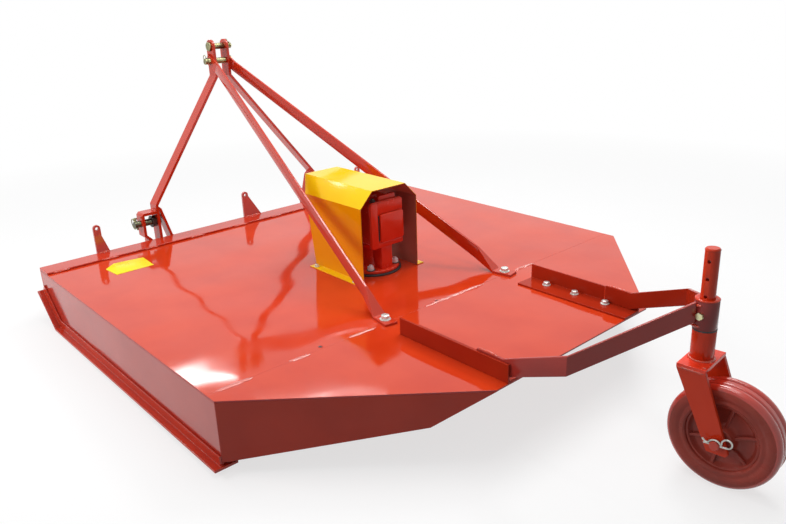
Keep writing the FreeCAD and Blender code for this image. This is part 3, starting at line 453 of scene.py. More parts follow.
def sweep(points, radius, closed=False, ripple=None):
    """A round bar along points; ripple(index) scales the radius at each point."""
    count = len(points)
    verts, faces = [], []
    side = None
    for index, point in enumerate(points):
        before = points[index - 1] if closed or index else point
        after = points[(index + 1) % count] if closed or index < count - 1 else point
        run = (after - before).normalized()
        if side is None:
            side = run.orthogonal().normalized()
        side = (side - run * side.dot(run)).normalized()
        other = run.cross(side)
        size = radius * (ripple(index) if ripple else 1.0)
        for step in range(WIRE_SIDES):
            turn = 2 * math.pi * step / WIRE_SIDES
            verts.append(point + side * (math.cos(turn) * size) + other * (math.sin(turn) * size))
    for index in range(count if closed else count - 1):
        faces += band(index * WIRE_SIDES, (index + 1) % count * WIRE_SIDES, WIRE_SIDES)
    if not closed:
        faces.append(list(range(WIRE_SIDES))[::-1])
        faces.append(list(range((count - 1) * WIRE_SIDES, count * WIRE_SIDES)))
    return verts, faces


def slab(outline, low, high):
    """A flat plate between two heights."""
    count = len(outline)
    verts = [Vector((x, y, low)) for x, y in outline] + [Vector((x, y, high)) for x, y in outline]
    ends = [list(range(count))[::-1], list(range(count, 2 * count))]
    return verts, ends + band(0, count, count)


def rounded(left, right, low, high, corner):
    """The outline of a rectangle with round corners."""
    spots = []
    for sign_x, sign_y, start in ((1, 1, 0), (-1, 1, 90), (-1, -1, 180), (1, -1, 270)):
        middle_x = (left + right) / 2 + sign_x * ((right - left) / 2 - corner)
        middle_y = (low + high) / 2 + sign_y * ((high - low) / 2 - corner)
        for step in range(CORNER_STEPS + 1):
            turn = math.radians(start + 90 * step / CORNER_STEPS)
            spots.append((middle_x + corner * math.cos(turn), middle_y + corner * math.sin(turn)))
    return spots


def stand(x, y, z, way=(0, 0, 1), spin=0.0):
    """Local frame for a small part: at a place, its z along a direction, turned about it."""
    z_way = Vector(way).normalized()
    x_way = Vector((1, 0, 0)) - z_way * z_way.x
    if x_way.length < 0.1:
        x_way = Vector((0, 0, 1)) - z_way * z_way.z
    x_way.normalize()
    turn = Matrix.Rotation(math.radians(spin), 4, "Z")
    return axes(x_way, z_way.cross(x_way), z_way, Vector((x, y, z))) @ turn


class Piece:
    """Mesh parts gathered in a local frame and made into one object that rides on a body."""

    def __init__(self, name, material, body="deck", slot="red_paint", place=DECK):
        self.name = name
        self.material = material
        self.body = body
        self.slot = slot
        self.place = place
        self.verts = []
        self.faces = []

    def add(self, part, where=None):
        """Take in a part, moved from its own frame to a place in the piece's frame."""
        verts, faces = part
        start = len(self.verts)
        self.verts += [where @ spot if where else spot.copy() for spot in verts]
        self.faces += [[index + start for index in face] for face in faces]

    def finish(self, sharp=38, bevel=0.0):
        """Make the object; edges beyond the sharp angle stay crisp, a bevel is in millimetres."""
        mesh = bpy.data.meshes.new(self.name)
        mesh.from_pydata([self.place @ spot for spot in self.verts], [], self.faces)
        work = bmesh.new()
        work.from_mesh(mesh)
        bmesh.ops.recalc_face_normals(work, faces=work.faces)
        if bevel:
            edges = [e for e in work.edges if len(e.link_faces) == 2
                     and e.calc_face_angle() > math.radians(30)]
            bmesh.ops.bevel(work, geom=edges, offset=bevel * MM, segments=2, profile=0.5,
                            affect="EDGES", clamp_overlap=True)
        for edge in work.edges:
            if len(edge.link_faces) == 2 and edge.calc_face_angle() > math.radians(sharp):
                edge.smooth = False
        for face in work.faces:
            face.smooth = True
        work.to_mesh(mesh)
        work.free()
        thing = bpy.data.objects.new(self.name, mesh)
        bpy.context.scene.collection.objects.link(thing)
        mesh.materials.append(self.material)
        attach(thing, self.body)
        return thing


# --- welds ---

BEAD_STEP = 2.2
RIPPLE_TURN = 2.2


def bead(start, end, width=4.0, wander=0.8):
    """A hand-laid bead from one point to another, with the ripples of each pass of the arc."""
    start, end = Vector(start), Vector(end)
    length = (end - start).length
    count = max(int(length / BEAD_STEP), 4)
    phase = dice.uniform(0, 6)
    points = []
    for index in range(count + 1):
        spot = start.lerp(end, index / count)
        spot += Vector(noise.noise_vector(spot * 0.045 + Vector((phase, 0, 0)))) * wander
        spot.z += 0.8 * noise.noise(Vector((index * 0.3, phase, 5)))
        points.append(spot)

    def ripple(index):
        part = index / count
        taper = min(1.0, 0.35 + 5 * min(part, 1 - part))
        wave = 1.0 + 0.16 * math.sin(index * RIPPLE_TURN + phase)
        return taper * wave * (1.0 + 0.25 * noise.noise(Vector((index * 0.17, phase, 0))))

    return sweep(points, width, ripple=ripple)


def round_bead(centre, radius, width):
    """A bead all round a tube, in the local xy plane."""
    count = max(int(radius * math.radians(360) / BEAD_STEP), 8)
    phase = dice.uniform(0, 6)
    points = []
    for index in range(count + 1):
        off = radius + 0.7 * noise.noise(Vector((index * 0.21, phase, 2)))
        points.append(Vector(centre) + polar(off, math.radians(360 * index / count)))

    def ripple(index):
        return 1.0 + 0.18 * math.sin(index * RIPPLE_TURN + phase)

    return sweep(points, width, ripple=ripple)


def squeezed(height):
    """Flattens a part towards the local xy plane, as paint and grinding leave a low bead."""
    return Matrix.Diagonal((1, 1, height, 1))


def stitches(piece, start, end, pitch, length, width=4.0):
    """Short beads with gaps between them along a joint."""
    start, end = Vector(start), Vector(end)
    whole = (end - start).length
    run = (end - start).normalized()
    spot = 0.0
    while spot < whole - length * 0.5:
        stop = min(spot + length * dice.uniform(0.8, 1.15), whole)
        piece.add(bead(start + run * spot, start + run * stop, width))
        spot += pitch * dice.uniform(0.9, 1.1)


DECK_LOW, DECK_HIGH = span("front_deck_sheet")
RAIL_LOW, RAIL_HIGH = span("front_rail")
HALF = DECK_HIGH.y
SEAM = DECK_LOW.x
RAIL_REAR = RAIL_LOW.x
RAIL_TOP = RAIL_HIGH.z
FRONT = RAIL_HIGH.x
BAR_SHEET = 12
STRAP_TUCK = 20
ANGLE_SHEET = 6
ARM_MIDDLE = 4
ARM_TOP = 60
RAIL_BEAD = 4.4
THIN_BEAD = 3.6
SEAM_BEADS = ((872, 765), (646, 577), (432, 331), (115, -155), (-330, -430))


def make_deck_welds():
    """Beads along the seam, the rail, the lugs, the hitch, the sides and the tail arms."""
    welds = Piece("deck_welds", weld_red)

    def lay(start, end, width=4.0):
        welds.add(bead(start, end, width))

    seam = Piece("seam_welds", seam_glint_red)
    for start, end in SEAM_BEADS:
        seam.add(bead((SEAM, start, 0), (SEAM - 4, end, 0), 6.5, 2.2), squeezed(0.42))
    seam.finish(50)
    stitches(welds, (RAIL_REAR, HALF - 20, 3), (RAIL_REAR, 20 - HALF, 3), 190, 62, RAIL_BEAD)
    for node in ("left_front_lug", "right_front_lug", "middle_front_lug"):
        low, high = span(node)
        lay((low.x, low.y + 2, RAIL_TOP), (low.x, high.y - 2, RAIL_TOP), RAIL_BEAD)
    for side, sign in SIDES:
        strap_low, strap_high = span(side + "_hitch_strap")
        leg_face, strap_face = out_from_middle(side + "_hitch_strap")
        foot_face = strap_face - STRAP_TUCK
        for y in (leg_face - BAR_SHEET, leg_face, foot_face - BAR_SHEET, foot_face):
            lay((FRONT + 1, sign * y, strap_low.z + 2), (FRONT + 1, sign * y, RAIL_TOP))
        y = sign * (leg_face + 0.5)
        for z in (strap_high.z - BAR_SHEET, strap_high.z):
            lay((FRONT + 3, y, z), (FRONT + 53, y, z), THIN_BEAD)
        y = sign * (leg_face - BAR_SHEET)
        z = span(side + "_leg_gusset")[1].z - 4
        lay((FRONT + 2, y, z), (FRONT + 54, y, z))
        foot = out_from_middle(side + "_leg_gusset")[0]
        for y in (foot + 4, foot + 18):
            lay((FRONT + 1, sign * y, -25), (FRONT + 1, sign * (y + 5), RAIL_TOP))
        low, high = span(side + "_side_plate")
        y = sign * (HALF - 6)
        stitches(welds, (low.x + 30, y, -6), (high.x - 30, y, -6), 170, 60, THIN_BEAD)
        z = span(side + "_runner")[0].z + 9
        stitches(welds, (20, y, z), (1150, y, z), 210, 60, THIN_BEAD)
        arm_x = span(side + "_tail_arm")[1].x
        y = sign * (out_from_middle(side + "_tail_angle")[1] - ANGLE_SHEET - ARM_MIDDLE)
        lay((arm_x, y, 8), (arm_x, y, 58))
        lay((arm_x - 4, y, ARM_TOP), (arm_x - 70, y, ARM_TOP), THIN_BEAD)
    welds.finish(60)


# --- bolts, label and holes of the deck ---

WASHER = 2.2
DECK_SHEET = 5
# Rows of bolts on each side: their x, their y, the sheet on the deck, across flats, head.
TAIL_BOLTS = ((-134, -247, -361), 284, 6, 19, 9)
BRACE_BOLTS = ((48,), 282, 8, 24, 12)
SHIELD_BOLTS = ((366, 590), 146, 3, 13, 6)
LABEL_CORNERS = ((1071, 712), (1071, 567), (1184, 560), (1201, 672), (1160, 719))
DRAIN_HOLES = ((53, 528), (47, 58))


def bolt(heads, washers, where, across, height, clamped=0.0):
    """A hex head on its washer and, below a clamped thickness, its nut and thread end."""
    core, edge, rim = across * 0.30, across * 0.72, across * 0.74
    heads.add(hexagon(across, WASHER, WASHER + height), where)
    washers.add(lathe([(core, 0), (edge, 0), (rim, 0.6), (rim, 1.6), (edge, WASHER),
                       (core, WASHER)], 28), where)
    if clamped:
        below = where @ Matrix.Translation((0, 0, -clamped)) @ Matrix.Rotation(math.pi, 4, "X")
        nut = height * 1.2
        heads.add(hexagon(across, 0, nut), below)
        heads.add(lathe([(core, nut), (core, nut + 5), (across * 0.24, nut + 6.5),
                         (0, nut + 6.5)], 16), below)


def any_turn():
    """How far a bolt head happens to be turned, in degrees."""
    return dice.uniform(0, 60)


def make_deck_bolts():
    """Bolts through the tail angles, the braces' feet and the shield's flanges."""
    bolts = Piece("deck_bolts", zinc, slot="bright_steel")
    for _, sign in SIDES:
        for places, y, sheet, across, height in (TAIL_BOLTS, BRACE_BOLTS, SHIELD_BOLTS):
            for x in places:
                where = stand(x, sign * y, sheet, spin=any_turn())
                bolt(bolts, bolts, where, across, height, sheet + DECK_SHEET)
    bolts.finish(30)


def make_label():
    """A plain yellow film stuck to the deck, with nothing printed on it."""
    label = Piece("blank_label", label_yellow, slot="yellow_paint")
    label.add(slab(LABEL_CORNERS, 0.1, 0.9))
    label.finish(bevel=0.3)


def make_drain_holes():
    """Two small holes beside the seam, each with a raised rim and a black disc in it as painted
    shade.
    """
    rims = Piece("drain_rims", bar_red)
    holes = Piece("drain_holes", shade_and_parts_black, slot="dark_steel")
    for x, y in DRAIN_HOLES:
        where = stand(x, y, 0)
        rims.add(lathe([(8.5, -0.5), (8.2, 0.6), (6.8, 1.0), (5.6, 0.5), (5.4, -0.5)], 24), where)
        # Painted shade: each hole is a black disc on the sheet, standing in for the shade inside
        # it.
        holes.add(lathe([(5.6, 0.1), (5.0, 0.3), (0, 0.4)], 20), where)
    rims.finish()
    holes.finish()


# --- gearbox ---

GEARBOX_LOW, GEARBOX_HIGH = span("gearbox_housing")
BASE_LOW, BASE_HIGH = span("gearbox_base")
ROTOR_X = (BASE_LOW.x + BASE_HIGH.x) / 2
INPUT_HEIGHT = 180
FOOT_TOP = 18
FOOT_CIRCLE = 82
SEAL_CIRCLE = 43


def facing_back(x):
    """Local frame on a plane that looks to the rear: across is y, up is z, out is -x."""
    return axes(Vector((0, 1, 0)), Vector((0, 0, 1)), Vector((-1, 0, 0)), Vector((x, 0, 0)))


def bolt_circle(radius):
    """Four places on a circle, each halfway between two of the axes."""
    turns = [math.radians(turn) for turn in (45, 135, 225, 315)]
    return [(radius * math.cos(turn), radius * math.sin(turn)) for turn in turns]


def make_gearbox_cover():
    """The rear cover: a plate with a raised frame, and a raised panel with a slot beside it whose
    floor is a black strip of painted shade.
    """
    low, high = span("gearbox_cover")
    where = facing_back(high.x)
    depth = high.x - low.x
    base = depth - 4
    wide = high.y + 5
    cover = Piece("gearbox_rear_cover", casting_lit_red, slot="gearbox_paint")
    cover.add(slab(rounded(-wide, wide, low.z + 2, high.z, 13), 0, base), where)
    cover.add(slab(rounded(41, wide - 2, low.z + 4, high.z - 3, 9), base, depth), where)
    cover.add(slab(rounded(2 - wide, 44, 228, high.z - 3, 6), base, depth), where)
    cover.add(slab(rounded(2 - wide, 44, low.z + 4, 122, 6), base, depth), where)
    cover.add(slab(rounded(2 - wide, 33, 124, 226, 9), base, depth + 5), where)
    cover.finish(bevel=1.4)
    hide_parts("gearbox_cover")
    # Painted shade: a black strip on the slot's floor stands in for the shade in it.
    slot_shade = Piece("gearbox_cover_slot_shade", shade_and_parts_black, slot="dark_steel")
    slot_shade.add(slab(rounded(33, 41, 128, 222, 3), base, base + 0.4), where)
    slot_shade.finish()


def make_gearbox_foot():
    """The round flange and ribbed neck, on a black ring and held by four bolts."""
    middle = stand(ROTOR_X, 0, 0)
    foot = Piece("gearbox_foot", casting_lit_red, slot="gearbox_paint")
    foot.add(lathe([(30, 7), (96, 7), (97.5, 8.5), (97.5, 16), (95.5, FOOT_TOP), (62, FOOT_TOP),
                    (50, 24), (43, 40), (42, 80), (46, 94), (56, BASE_HIGH.z)], 64), middle)
    foot.add(slab([(-82, -25), (-20, -25), (-20, 25), (-82, 25)], 14, BASE_HIGH.z), middle)
    foot.finish(bevel=1.2)
    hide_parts("gearbox_base")
    black_ring = Piece("gearbox_black_ring", shade_and_parts_black, slot="dark_steel")
    black_ring.add(lathe([(60, 0), (103, 0), (104, 1), (104, 6), (103, 7), (60, 7)], 64), middle)
    black_ring.finish()
    bolts = Piece("gearbox_bolts", white_glint_bolt, slot="bright_steel")
    washers = Piece("gearbox_washers", black_steel, slot="dark_steel")
    for x, y in bolt_circle(FOOT_CIRCLE):
        bolt(bolts, washers, stand(ROTOR_X + x, y, FOOT_TOP, spin=any_turn()), 22, 13)
        bolts.add(lathe([(6, 15), (6, 20), (5, 21), (0, 21)], 16), stand(ROTOR_X + x, y, FOOT_TOP))
    bolts.finish(30)
    washers.finish()


def make_gearbox_crown():
    """The cap and lug on top of the housing, the filler plug and the input shaft's seal."""
    top = GEARBOX_HIGH.z
    crown = Piece("gearbox_crown", casting_lit_red, slot="gearbox_paint")
    crown.add(lathe([(54, -4), (54, 5), (52, 7), (34, 8), (32, 16), (30, 18), (0, 18)], 48),
              stand(ROTOR_X, 0, top))
    crown.add(slab(rounded(-52, 24, 0, 26, 7), 0, 14),
              facing_back(GEARBOX_LOW.x + 16) @ Matrix.Translation((0, top - 6, 0)))
    crown.finish(bevel=1.5)
    plugs = Piece("gearbox_plugs", black_steel, slot="dark_steel")
    plugs.add(hexagon(19, 0, 9), stand(372, 46, top))
    plugs.add(lathe([(6, 9), (6, 13), (4.5, 15), (0, 15)], 20), stand(372, 46, top))
    plugs.add(lathe([(19, -2), (30, -2), (30, 1.5), (28, 2.5), (20, 2.5), (18.6, 1)], 40, True),
              stand(GEARBOX_HIGH.x, 0, INPUT_HEIGHT, (1, 0, 0)))
    plugs.finish(30)
    front = Piece("gearbox_front_bolts", zinc, slot="bright_steel")
    for y, z in bolt_circle(SEAL_CIRCLE):
        bolt(front, front, stand(GEARBOX_HIGH.x, y, INPUT_HEIGHT + z, (1, 0, 0)), 13, 7)
    front.finish(30)


# --- clips and rings ---

def smooth(points, times=2):
    """Rounds a route's corners by cutting each of them in turn."""
    for _ in range(times):
        cut = [points[0]]
        for before, after in zip(points, points[1:]):
            cut += [before.lerp(after, 0.25), before.lerp(after, 0.75)]
        points = cut + [points[-1]]
    return points


def r_clip(wire, hub):
    """A spring clip in its own plane: straight leg along -x through the hub, ring at +x."""
    points = [Vector((x, 0, 0)) for x in (-27, -18, -8, 2, 12, 20)]
    for step in range(13):
        turn = math.radians(-90 + 24 * step)
        points.append(Vector((28 + 12 * math.cos(turn), 12 + 12 * math.sin(turn), step * 0.3)))
    points += [polar(hub + wire, math.radians(turn), 3.6) for turn in range(25, 156, 13)]
    points += [Vector((-17, 4.6, 3.6)), Vector((-21, 4.4, 3.4)), Vector((-27, 9, 3.2)),
               Vector((-30, 13, 3.2))]
    return sweep(smooth(points), wire)


def ring(radius, wire):
    """A closed ring of wire in the local xy plane."""
    return sweep([polar(radius, 2 * math.pi * index / 36) for index in range(36)], wire, True)


# --- tail wheel ---

AXLE_BORE = 12.9


def make_collar_details():
    """Spacer and lip at the ends of the collar, its screw, and the arms' welds."""
    low, high = span("caster_collar", CASTER)
    radius = high.x
    spacer = Piece("caster_spacer", shade_and_parts_black, slot="dark_steel", place=CASTER)
    spacer.add(lathe([(radius - 3, -0.3), (radius + 0.4, -0.3), (radius + 0.6, 1.0),
                      (radius + 0.4, 3.2), (radius - 3, 3.2)], 48, True))
    spacer.finish()
    lip = Piece("collar_lip", yoke_red, place=CASTER)
    lip.add(lathe([(17.9, 76.5), (radius, 76.5), (radius + 0.5, 77.2), (radius + 0.5, 79.2),
                   (radius - 1, 80.4), (19, 80.4), (17.9, 79.6)], 48, True))
    lip.finish(50)
    screw = Piece("collar_screw", passivated, slot="bright_steel", place=CASTER)
    way = polar(1, math.radians(83))
    foot = way * (radius - 1.5) + Vector((0, 0, 41))
    screw.add(hexagon(17, 1, 9), stand(foot.x, foot.y, foot.z, way, 12))
    screw.finish(30)
    welds = Piece("collar_welds", weld_red, place=CASTER)
    for sign in (1, -1):
        for height in (low.z + 12, low.z + 66):
            welds.add(bead((radius * 0.2 - 4, sign * radius, height),
                           (radius * 0.95, sign * radius * 0.78, height), 3.2))
    welds.finish(60)
    return radius


def make_caster_details():
    """The yoke's welds, the stem's turned end, and the clips and washers on the axle."""
    radius = make_collar_details()
    low, high = span("yoke_plate", CASTER)
    welds = Piece("yoke_welds", weld_red, body="caster", place=CASTER)
    welds.add(round_bead((0, 0, high.z + 1), radius + 0.5, THIN_BEAD))
    for sign in (1, -1):
        y = sign * high.y - sign
        welds.add(bead((low.x + 3, y, low.z), (high.x - 3, y, low.z), 3.0))
        y = sign * high.y - sign * 11.5
        welds.add(bead((low.x + 4, y, low.z - 1), (high.x - 4, y, low.z - 1), 3.0))
    for x, y in ((low.x + 4, high.y - 6), (low.x + 5, 18)):
        welds.add(bead((x, y, high.z), (x + 9, y - 5, high.z), 3.4))
    welds.finish(60)
    leg_face = high.y
    top = span("caster_stem", CASTER)[1].z
    crown = Piece("stem_crown", yoke_red, body="caster", place=CASTER)
    crown.add(lathe([(13.4, top - 1), (15.6, top - 0.4), (17.8, top - 3), (18.3, top - 5),
                     (17.6, top - 7), (17.0, top - 7)], 48))
    crown.finish(50)
    low, high = span("wheel_axle", CASTER)
    x, z = (low.x + high.x) / 2, (low.z + high.z) / 2
    clips = Piece("axle_clips", wire_steel, body="caster", slot="bright_steel", place=CASTER)
    washers = Piece("axle_washers", yoke_red, body="caster", place=CASTER)
    for sign in (1, -1):
        plane = axes(Vector((-1, 0, 0.06)).normalized(), Vector((0, 0, sign)),
                     Vector((0, sign, 0)), Vector((x, sign * (leg_face + 9), z + 1)))
        clips.add(r_clip(2.5, AXLE_BORE), plane)
        washers.add(lathe([(12.8, 0), (20, 0), (20.6, 0.8), (20, 2.6), (12.8, 2.6)], 36, True),
                    stand(x, sign * leg_face, z, (0, sign, 0)))
    clips.finish(50)
    washers.finish()


def both_sides(points):
    """A round part's closed outline from the half of it that lies at positive widths."""
    return points + [(radius, -width) for radius, width in reversed(points)]


def make_wheel():
    """A tyre with rounded walls and two grooves, on a dished disc with six ribs a side."""
    outer, half = span("wheel_tyre", HUB)[1].xy
    rim, boss = span("wheel_hub", HUB)[1].xy
    turned = stand(0, 0, 0, (0, 1, 0))
    side = Piece("tyre_side", wheel_red, body="tail_wheel", slot="tyre", place=HUB)
    wall = [(outer - 10, half - 2.6), (outer - 17, half - 0.6), (outer - 24, half),
            (outer - 30, half - 1.2), (outer - 33, half - 3.2), (outer - 37, half - 3.4),
            (outer - 41, half - 1.8), (outer - 46, half - 2.2), (rim + 1, half - 6),
            (rim, half - 9)]
    side.add(lathe(both_sides(wall), 96, True), turned)
    side.finish(50)
    tread = Piece("tyre_tread", tread_red, body="tail_wheel", slot="tyre", place=HUB)
    groove = outer - 5.5
    crown = [(outer - 2, 0), (outer - 1.2, 3), (outer - 1.6, 7), (outer - 3, 9), (groove, 10.5),
             (groove, 14), (outer - 2.4, 15.5), (outer - 0.4, 18), (outer, 22), (outer - 0.6, 27),
             (outer - 3, 32), (outer - 7, half - 3.4), (outer - 10.5, half - 2.4),
             (outer - 13, half - 6)]
    mirrored = [(radius, -width) for radius, width in crown[:0:-1]]
    tread.add(lathe(mirrored + crown, 96, True), turned)
    tread.finish(50)
    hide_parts("wheel_tyre")
    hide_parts("wheel_tyre")
    hub = Piece("wheel_disc", wheel_red, body="tail_wheel", slot="tyre", place=HUB)
    face = [(AXLE_BORE, boss), (boss * 0.62, boss), (boss * 0.66, boss - 3),
            (boss * 0.70, boss - 16), (38, 24), (44, 20), (62, 17), (74, 18), (rim - 8, 24),
            (rim - 5, half - 9), (rim + 0.5, half - 9)]
    hub.add(lathe(both_sides(face), 96, True), turned)
    for index in range(6):
        spin = Matrix.Rotation(math.radians(60 * index + 17), 4, "Y")
        for sign in (1, -1):
            rib = slab([(32, sign * 15), (32, sign * 33), (50, sign * 27), (72, sign * 25),
                        (rim - 5, sign * 27), (rim - 4, sign * 15)], -4, 4)
            hub.add(rib, spin)
    hub.finish(50, 0.8)
    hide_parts("wheel_hub")


# --- rotor and underside ---

def make_rotor_details():
    """Ground edges of the blades, the nuts of their bolts, and the welds of bar, pan and shaft."""
    low, high = span("left_blade", ROTOR)
    for side, sign in SIDES:
        edges = Piece(side + "_blade_bevels", ground_steel, body=side + "_blade", slot="dark_steel",
                      place=ROTOR)
        for across in (1, -1):
            rim = across * (high.x - 0.4)
            inner = across * (high.x - 15)
            outline = [(rim, sign * 520), (rim, sign * (high.y - 22)),
                       (inner, sign * (high.y - 30)), (inner, sign * 526)]
            edges.add(slab(outline, low.z - 0.3, low.z + 0.6))
            edges.add(slab(outline, high.z - 0.6, high.z + 0.3))
        edges.finish()
    low, high = span("left_blade_bolt", ROTOR)
    nuts = Piece("blade_bolt_nuts", zinc, body="rotor", slot="bright_steel", place=ROTOR)
    for side, sign in SIDES:
        nuts.add(hexagon(36, 0, 13), stand(0, sign * (low.y + high.y) / 2, high.z - 14))
    nuts.finish(30)
    z = span("blade_pan", ROTOR)[0].z + 7
    bar_high = span("blade_bar", ROTOR)[1]
    welds = Piece("rotor_welds", black_steel, body="rotor", slot="dark_steel", place=ROTOR)
    for sign in (1, -1):
        for across in (1, -1):
            x = across * bar_high.x
            welds.add(bead((x, sign * 90, z), (x, sign * 260, z), THIN_BEAD))
    welds.add(round_bead((0, 0, bar_high.z + 1), 66, 4.0))
    welds.finish(60)


def make_underside():
    """Welds below the deck, round the gearbox mount too, and the nuts of the gearbox bolts."""
    welds = Piece("underside_welds", weld_red)
    under = DECK_LOW.z - 1
    for side, sign in SIDES:
        y = sign * (out_from_middle(side + "_side_plate")[0] - 1)
        stitches(welds, (60, y, under), (1300, y, under), 150, 70, THIN_BEAD)
    x = RAIL_REAR + 6
    stitches(welds, (x, HALF - 30, under), (x, 30 - HALF, under), 160, 60, THIN_BEAD)
    low, high = span("gearbox_mount")
    z = high.z - 4
    for y in (low.y, high.y):
        stitches(welds, (low.x + 10, y, z), (high.x - 10, y, z), 90, 45, 3.4)
    for x in (low.x, high.x):
        stitches(welds, (x, low.y + 10, z), (x, high.y - 10, z), 90, 45, 3.4)
    welds.finish(60)
    nuts = Piece("gearbox_nuts", zinc, slot="bright_steel")
    for x, y in bolt_circle(FOOT_CIRCLE):
        nuts.add(hexagon(19, 0, 13), stand(ROTOR_X + x, y, low.z, (0, 0, -1)))
    nuts.finish(30)


# --- hitch ---

TOP_PIN_RADIUS = 12.7
TOP_CLIP_SCALE = 0.77


def make_hitch_details():
    """Nuts, collars and linchpins on the lower pins, and a spring clip in each of the top pins."""
    nuts = Piece("hitch_nuts", black_steel, slot="dark_steel")
    clips = Piece("hitch_clips", pin_steel, slot="bright_steel")
    for side, sign in SIDES:
        low, high = span(side + "_lower_pin")
        x, z = (low.x + high.x) / 2, (low.z + high.z) / 2
        inner = out_from_middle(side + "_hitch_strap")[0] + 0.5
        where = stand(x, sign * inner, z, (0, sign, 0))
        nuts.add(hexagon(42, 0, 15, 28), where)
        nuts.add(lathe([(14, 15), (24, 15), (25, 16), (25, 18), (24, 19), (14, 19)], 32), where)
        hole = out_from_middle(side + "_lower_pin")[1] - 10
        clips.add(lathe([(0, -24), (3.4, -21), (4.4, -18), (4.4, 20), (8, 21), (8.5, 24), (8, 28),
                         (0, 30)], 20), stand(x, sign * hole, z, (0.35, 0, 1)))
        hang = axes(Vector((0, 0, -1)), Vector((0.94, 0, 0.34)), Vector((0, sign, 0)),
                    Vector((x + 12, sign * (hole + 7), z + 2)))
        clips.add(ring(19, 1.9), hang)
    for node, way in (("top_link_pin", -1), ("mast_lower_pin", 1)):
        low, high = span(node)
        y = (high.y if way > 0 else low.y) - way * 9
        plane = axes(Vector((0.94, 0, 0.34)), Vector((-0.34, 0, 0.94)), Vector((0, -1, 0)),
                     Vector(((low.x + high.x) / 2, y, (low.z + high.z) / 2)), TOP_CLIP_SCALE)
        clips.add(r_clip(2.0, TOP_PIN_RADIUS / TOP_CLIP_SCALE), plane)
    nuts.finish(30)
    clips.finish(40)


make_deck_welds()
make_deck_bolts()
make_label()
make_drain_holes()
make_gearbox_cover()
make_gearbox_foot()
make_gearbox_crown()
make_hitch_details()
make_caster_details()
make_wheel()
make_rotor_details()
make_underside()

# --- stage, light and camera ---

PLACE = Vector((-1.7292, 1.6159, 1.1975))
AZIMUTH, ELEVATION, ROLL = 138.751, 20.919, -1.443
LENS = 33.655
FLOOR_REACH = 14.0
FLOOR_HEIGHT = -0.0005
MIRROR_AWAY = 3.0


def seen_rays(tree):
    """1 for what shows directly, in a mirror or through glass, and 0 for the light that falls."""
    rays = make(tree, "ShaderNodeLightPath").outputs
    plain = maths(tree, "ADD", rays["Is Camera Ray"], rays["Is Glossy Ray"])
    return maths(tree, "ADD", plain, rays["Is Transmission Ray"], clamp=True)


def make_floor():
    """A pale floor that keeps the machine's shadow and fades to white away from it."""
    mesh = bpy.data.meshes.new("floor")
    corners = ((-1, -1), (1, -1), (1, 1), (-1, 1))
    mesh.from_pydata([(x * FLOOR_REACH, y * FLOOR_REACH, FLOOR_HEIGHT) for x, y in corners], [],
                     [(0, 1, 2, 3)])
    floor = bpy.data.objects.new("floor", mesh)
    bpy.context.scene.collection.objects.link(floor)
    material = bpy.data.materials.new("pale_floor")
    material.use_nodes = True
    tree = material.node_tree
    tree.nodes.clear()
    spot = make(tree, "ShaderNodeTexCoord").outputs["Object"]
    fade = remap(tree, vector_maths(tree, "LENGTH", spot), 1.2, 4.0, 0.7, 1.0)
    seen = seen_rays(tree)
    behind = vector_maths(tree, "DOT_PRODUCT", spot, (-0.75, 0.66, 0))
    dusk = remap(tree, behind, -0.5, 1.6, 0.0, 1.0)
    shade = blend(tree, dusk, (0.82, 0.82, 0.83, 1), (0.22, 0.22, 0.23, 1))
    cloud = grain(tree, spot, 3.0, 3.0)
    pale = blend(tree, cloud, (0.84, 0.84, 0.84, 1), (0.88, 0.88, 0.88, 1))
    plain = make(tree, "ShaderNodeBsdfDiffuse", {"Color": blend(tree, seen, shade, pale)})
    white = make(tree, "ShaderNodeEmission", {"Color": (1, 1, 1, 1), "Strength": 1.0})
    mixed = make(tree, "ShaderNodeMixShader", {0: maths(tree, "MULTIPLY", seen, fade),
                                               1: plain.outputs[0], 2: white.outputs[0]})
    out = make(tree, "ShaderNodeOutputMaterial")
    tree.links.new(mixed.outputs[0], out.inputs["Surface"])
    mesh.materials.append(material)


def make_world():
    """White where it shows; what it sheds is soft, and strongest from low down and ahead."""
    world = bpy.data.worlds.new("studio")
    bpy.context.scene.world = world
    world.use_nodes = True
    tree = world.node_tree
    tree.nodes.clear()
    way = make(tree, "ShaderNodeTexCoord").outputs["Generated"]
    height = make(tree, "ShaderNodeSeparateXYZ", {0: way}).outputs["Z"]
    ahead = vector_maths(tree, "DOT_PRODUCT", way, (0.90, 0.43, 0.0))
    wall = remap(tree, ahead, -0.1, 0.95, 0.0, 1.0)
    low = remap(tree, height, 0.24, 0.42, 1.0, 0.0)
    bright = vector_maths(tree, "DOT_PRODUCT", way, (0.85, -0.36, 0.38))
    window = remap(tree, bright, 0.935, 0.985, 0.0, 0.85)
    level = maths(tree, "MULTIPLY", wall, low)
    level = maths(tree, "MULTIPLY_ADD", window, 0.8, level)
    level = maths(tree, "ADD", level, 0.24)
    tint = (0.97, 0.985, 1.0, 1)
    room = make(tree, "ShaderNodeBackground", {"Color": tint, "Strength": level})
    white = make(tree, "ShaderNodeBackground", {"Color": (1, 1, 1, 1), "Strength": 1.0})
    mixed = make(tree, "ShaderNodeMixShader", {0: seen_rays(tree), 1: room.outputs[0],
                                               2: white.outputs[0]})
    out = make(tree, "ShaderNodeOutputWorld")
    tree.links.new(mixed.outputs[0], out.inputs["Surface"])


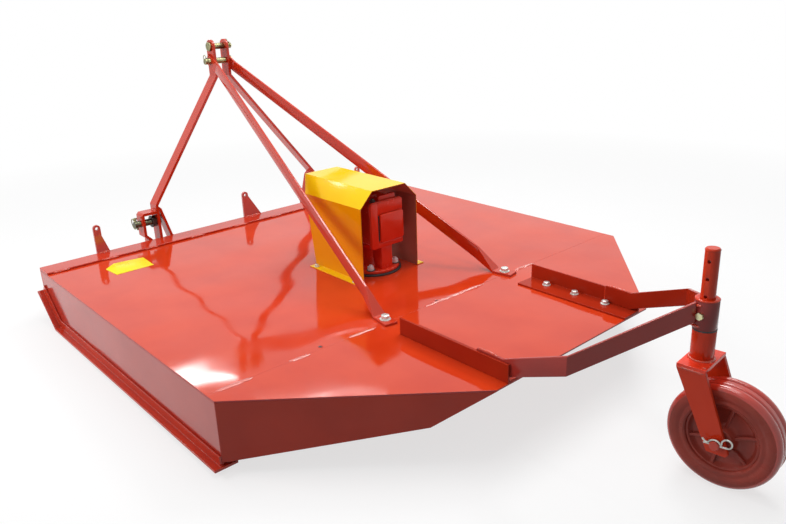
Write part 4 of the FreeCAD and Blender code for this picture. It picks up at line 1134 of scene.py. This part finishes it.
def make_lamp(name, place, aim, wide, tall, energy):
    """A rectangular area lamp of a width and height in metres and a power in watts."""
    data = bpy.data.lights.new(name, "AREA")
    data.shape = "RECTANGLE"
    data.size = wide
    data.size_y = tall
    data.energy = energy
    lamp = bpy.data.objects.new(name, data)
    lamp.location = place
    lamp.rotation_euler = (Vector(aim) - Vector(place)).to_track_quat("-Z", "Y").to_euler()
    bpy.context.scene.collection.objects.link(lamp)
    return lamp


def make_glare(name, start, end, tall, energy):
    """A narrow lamp that the deck mirrors to the camera between two places on the sheet."""
    spots = [DECK @ Vector((x, y, 0)) for x, y in (start, end)]
    ends = []
    for spot in spots:
        way = (spot - PLACE).normalized()
        ends.append(spot + (way - UP * (2 * way.dot(UP))) * MIRROR_AWAY)
    middle = (ends[0] + ends[1]) / 2
    target = (spots[0] + spots[1]) / 2
    back = (middle - target).normalized()
    along = ends[1] - ends[0]
    wide = along.length
    along = (along - back * along.dot(back)).normalized()
    lamp = make_lamp(name, middle, target, wide, tall, energy)
    lamp.data.shape = "ELLIPSE"
    lamp.matrix_world = axes(along, back.cross(along), back, middle)


def make_camera():
    """The camera, turned to its azimuth and elevation and rolled a little."""
    turn, lift = math.radians(AZIMUTH), math.radians(ELEVATION)
    back = Vector((math.cos(lift) * math.cos(turn), math.cos(lift) * math.sin(turn),
                   math.sin(lift)))
    right = Vector((0, 0, 1)).cross(back).normalized()
    data = bpy.data.cameras.new("camera")
    data.sensor_width = 36
    data.lens = LENS
    camera = bpy.data.objects.new("camera", data)
    level = axes(right, back.cross(right), back, PLACE)
    camera.matrix_world = level @ Matrix.Rotation(math.radians(ROLL), 4, "Z")
    bpy.context.scene.collection.objects.link(camera)
    bpy.context.scene.camera = camera


make_floor()
make_world()
key = make_lamp("key", (2.1, 3.0, 2.2), (0.2, 0.1, 0.2), 1.8, 1.3, 62)
# Mirrored in the sheets, the key would blow out to a white patch.
key.visible_glossy = False
make_lamp("ceiling", (0.1, -0.4, 3.2), (0.1, -0.4, 0.0), 2.4, 2.4, 54)
make_lamp("skylight", (0.5, -1.9, 3.1), (0.1, 0.0, 0.5), 1.3, 0.8, 42)
make_lamp("pane", (3.2, 0.75, 2.5), (0.6, 0.1, 1.0), 0.5, 0.3, 6)
make_lamp("tube_along", (0.0, 0.7, 3.1), (0.0, 0.3, 0.3), 3.2, 0.07, 7)
make_lamp("tube_across", (-0.6, 0.6, 3.0), (-0.4, 0.3, 0.3), 0.07, 3.2, 7)
make_glare("corner_glare", (200, 932), (68, 776), 0.11, 1.9)
make_glare("rear_edge_glare", (-76, 825), (-300, 573), 0.016, 0.5)
make_camera()
bpy.context.scene.view_settings.view_transform = "Standard"
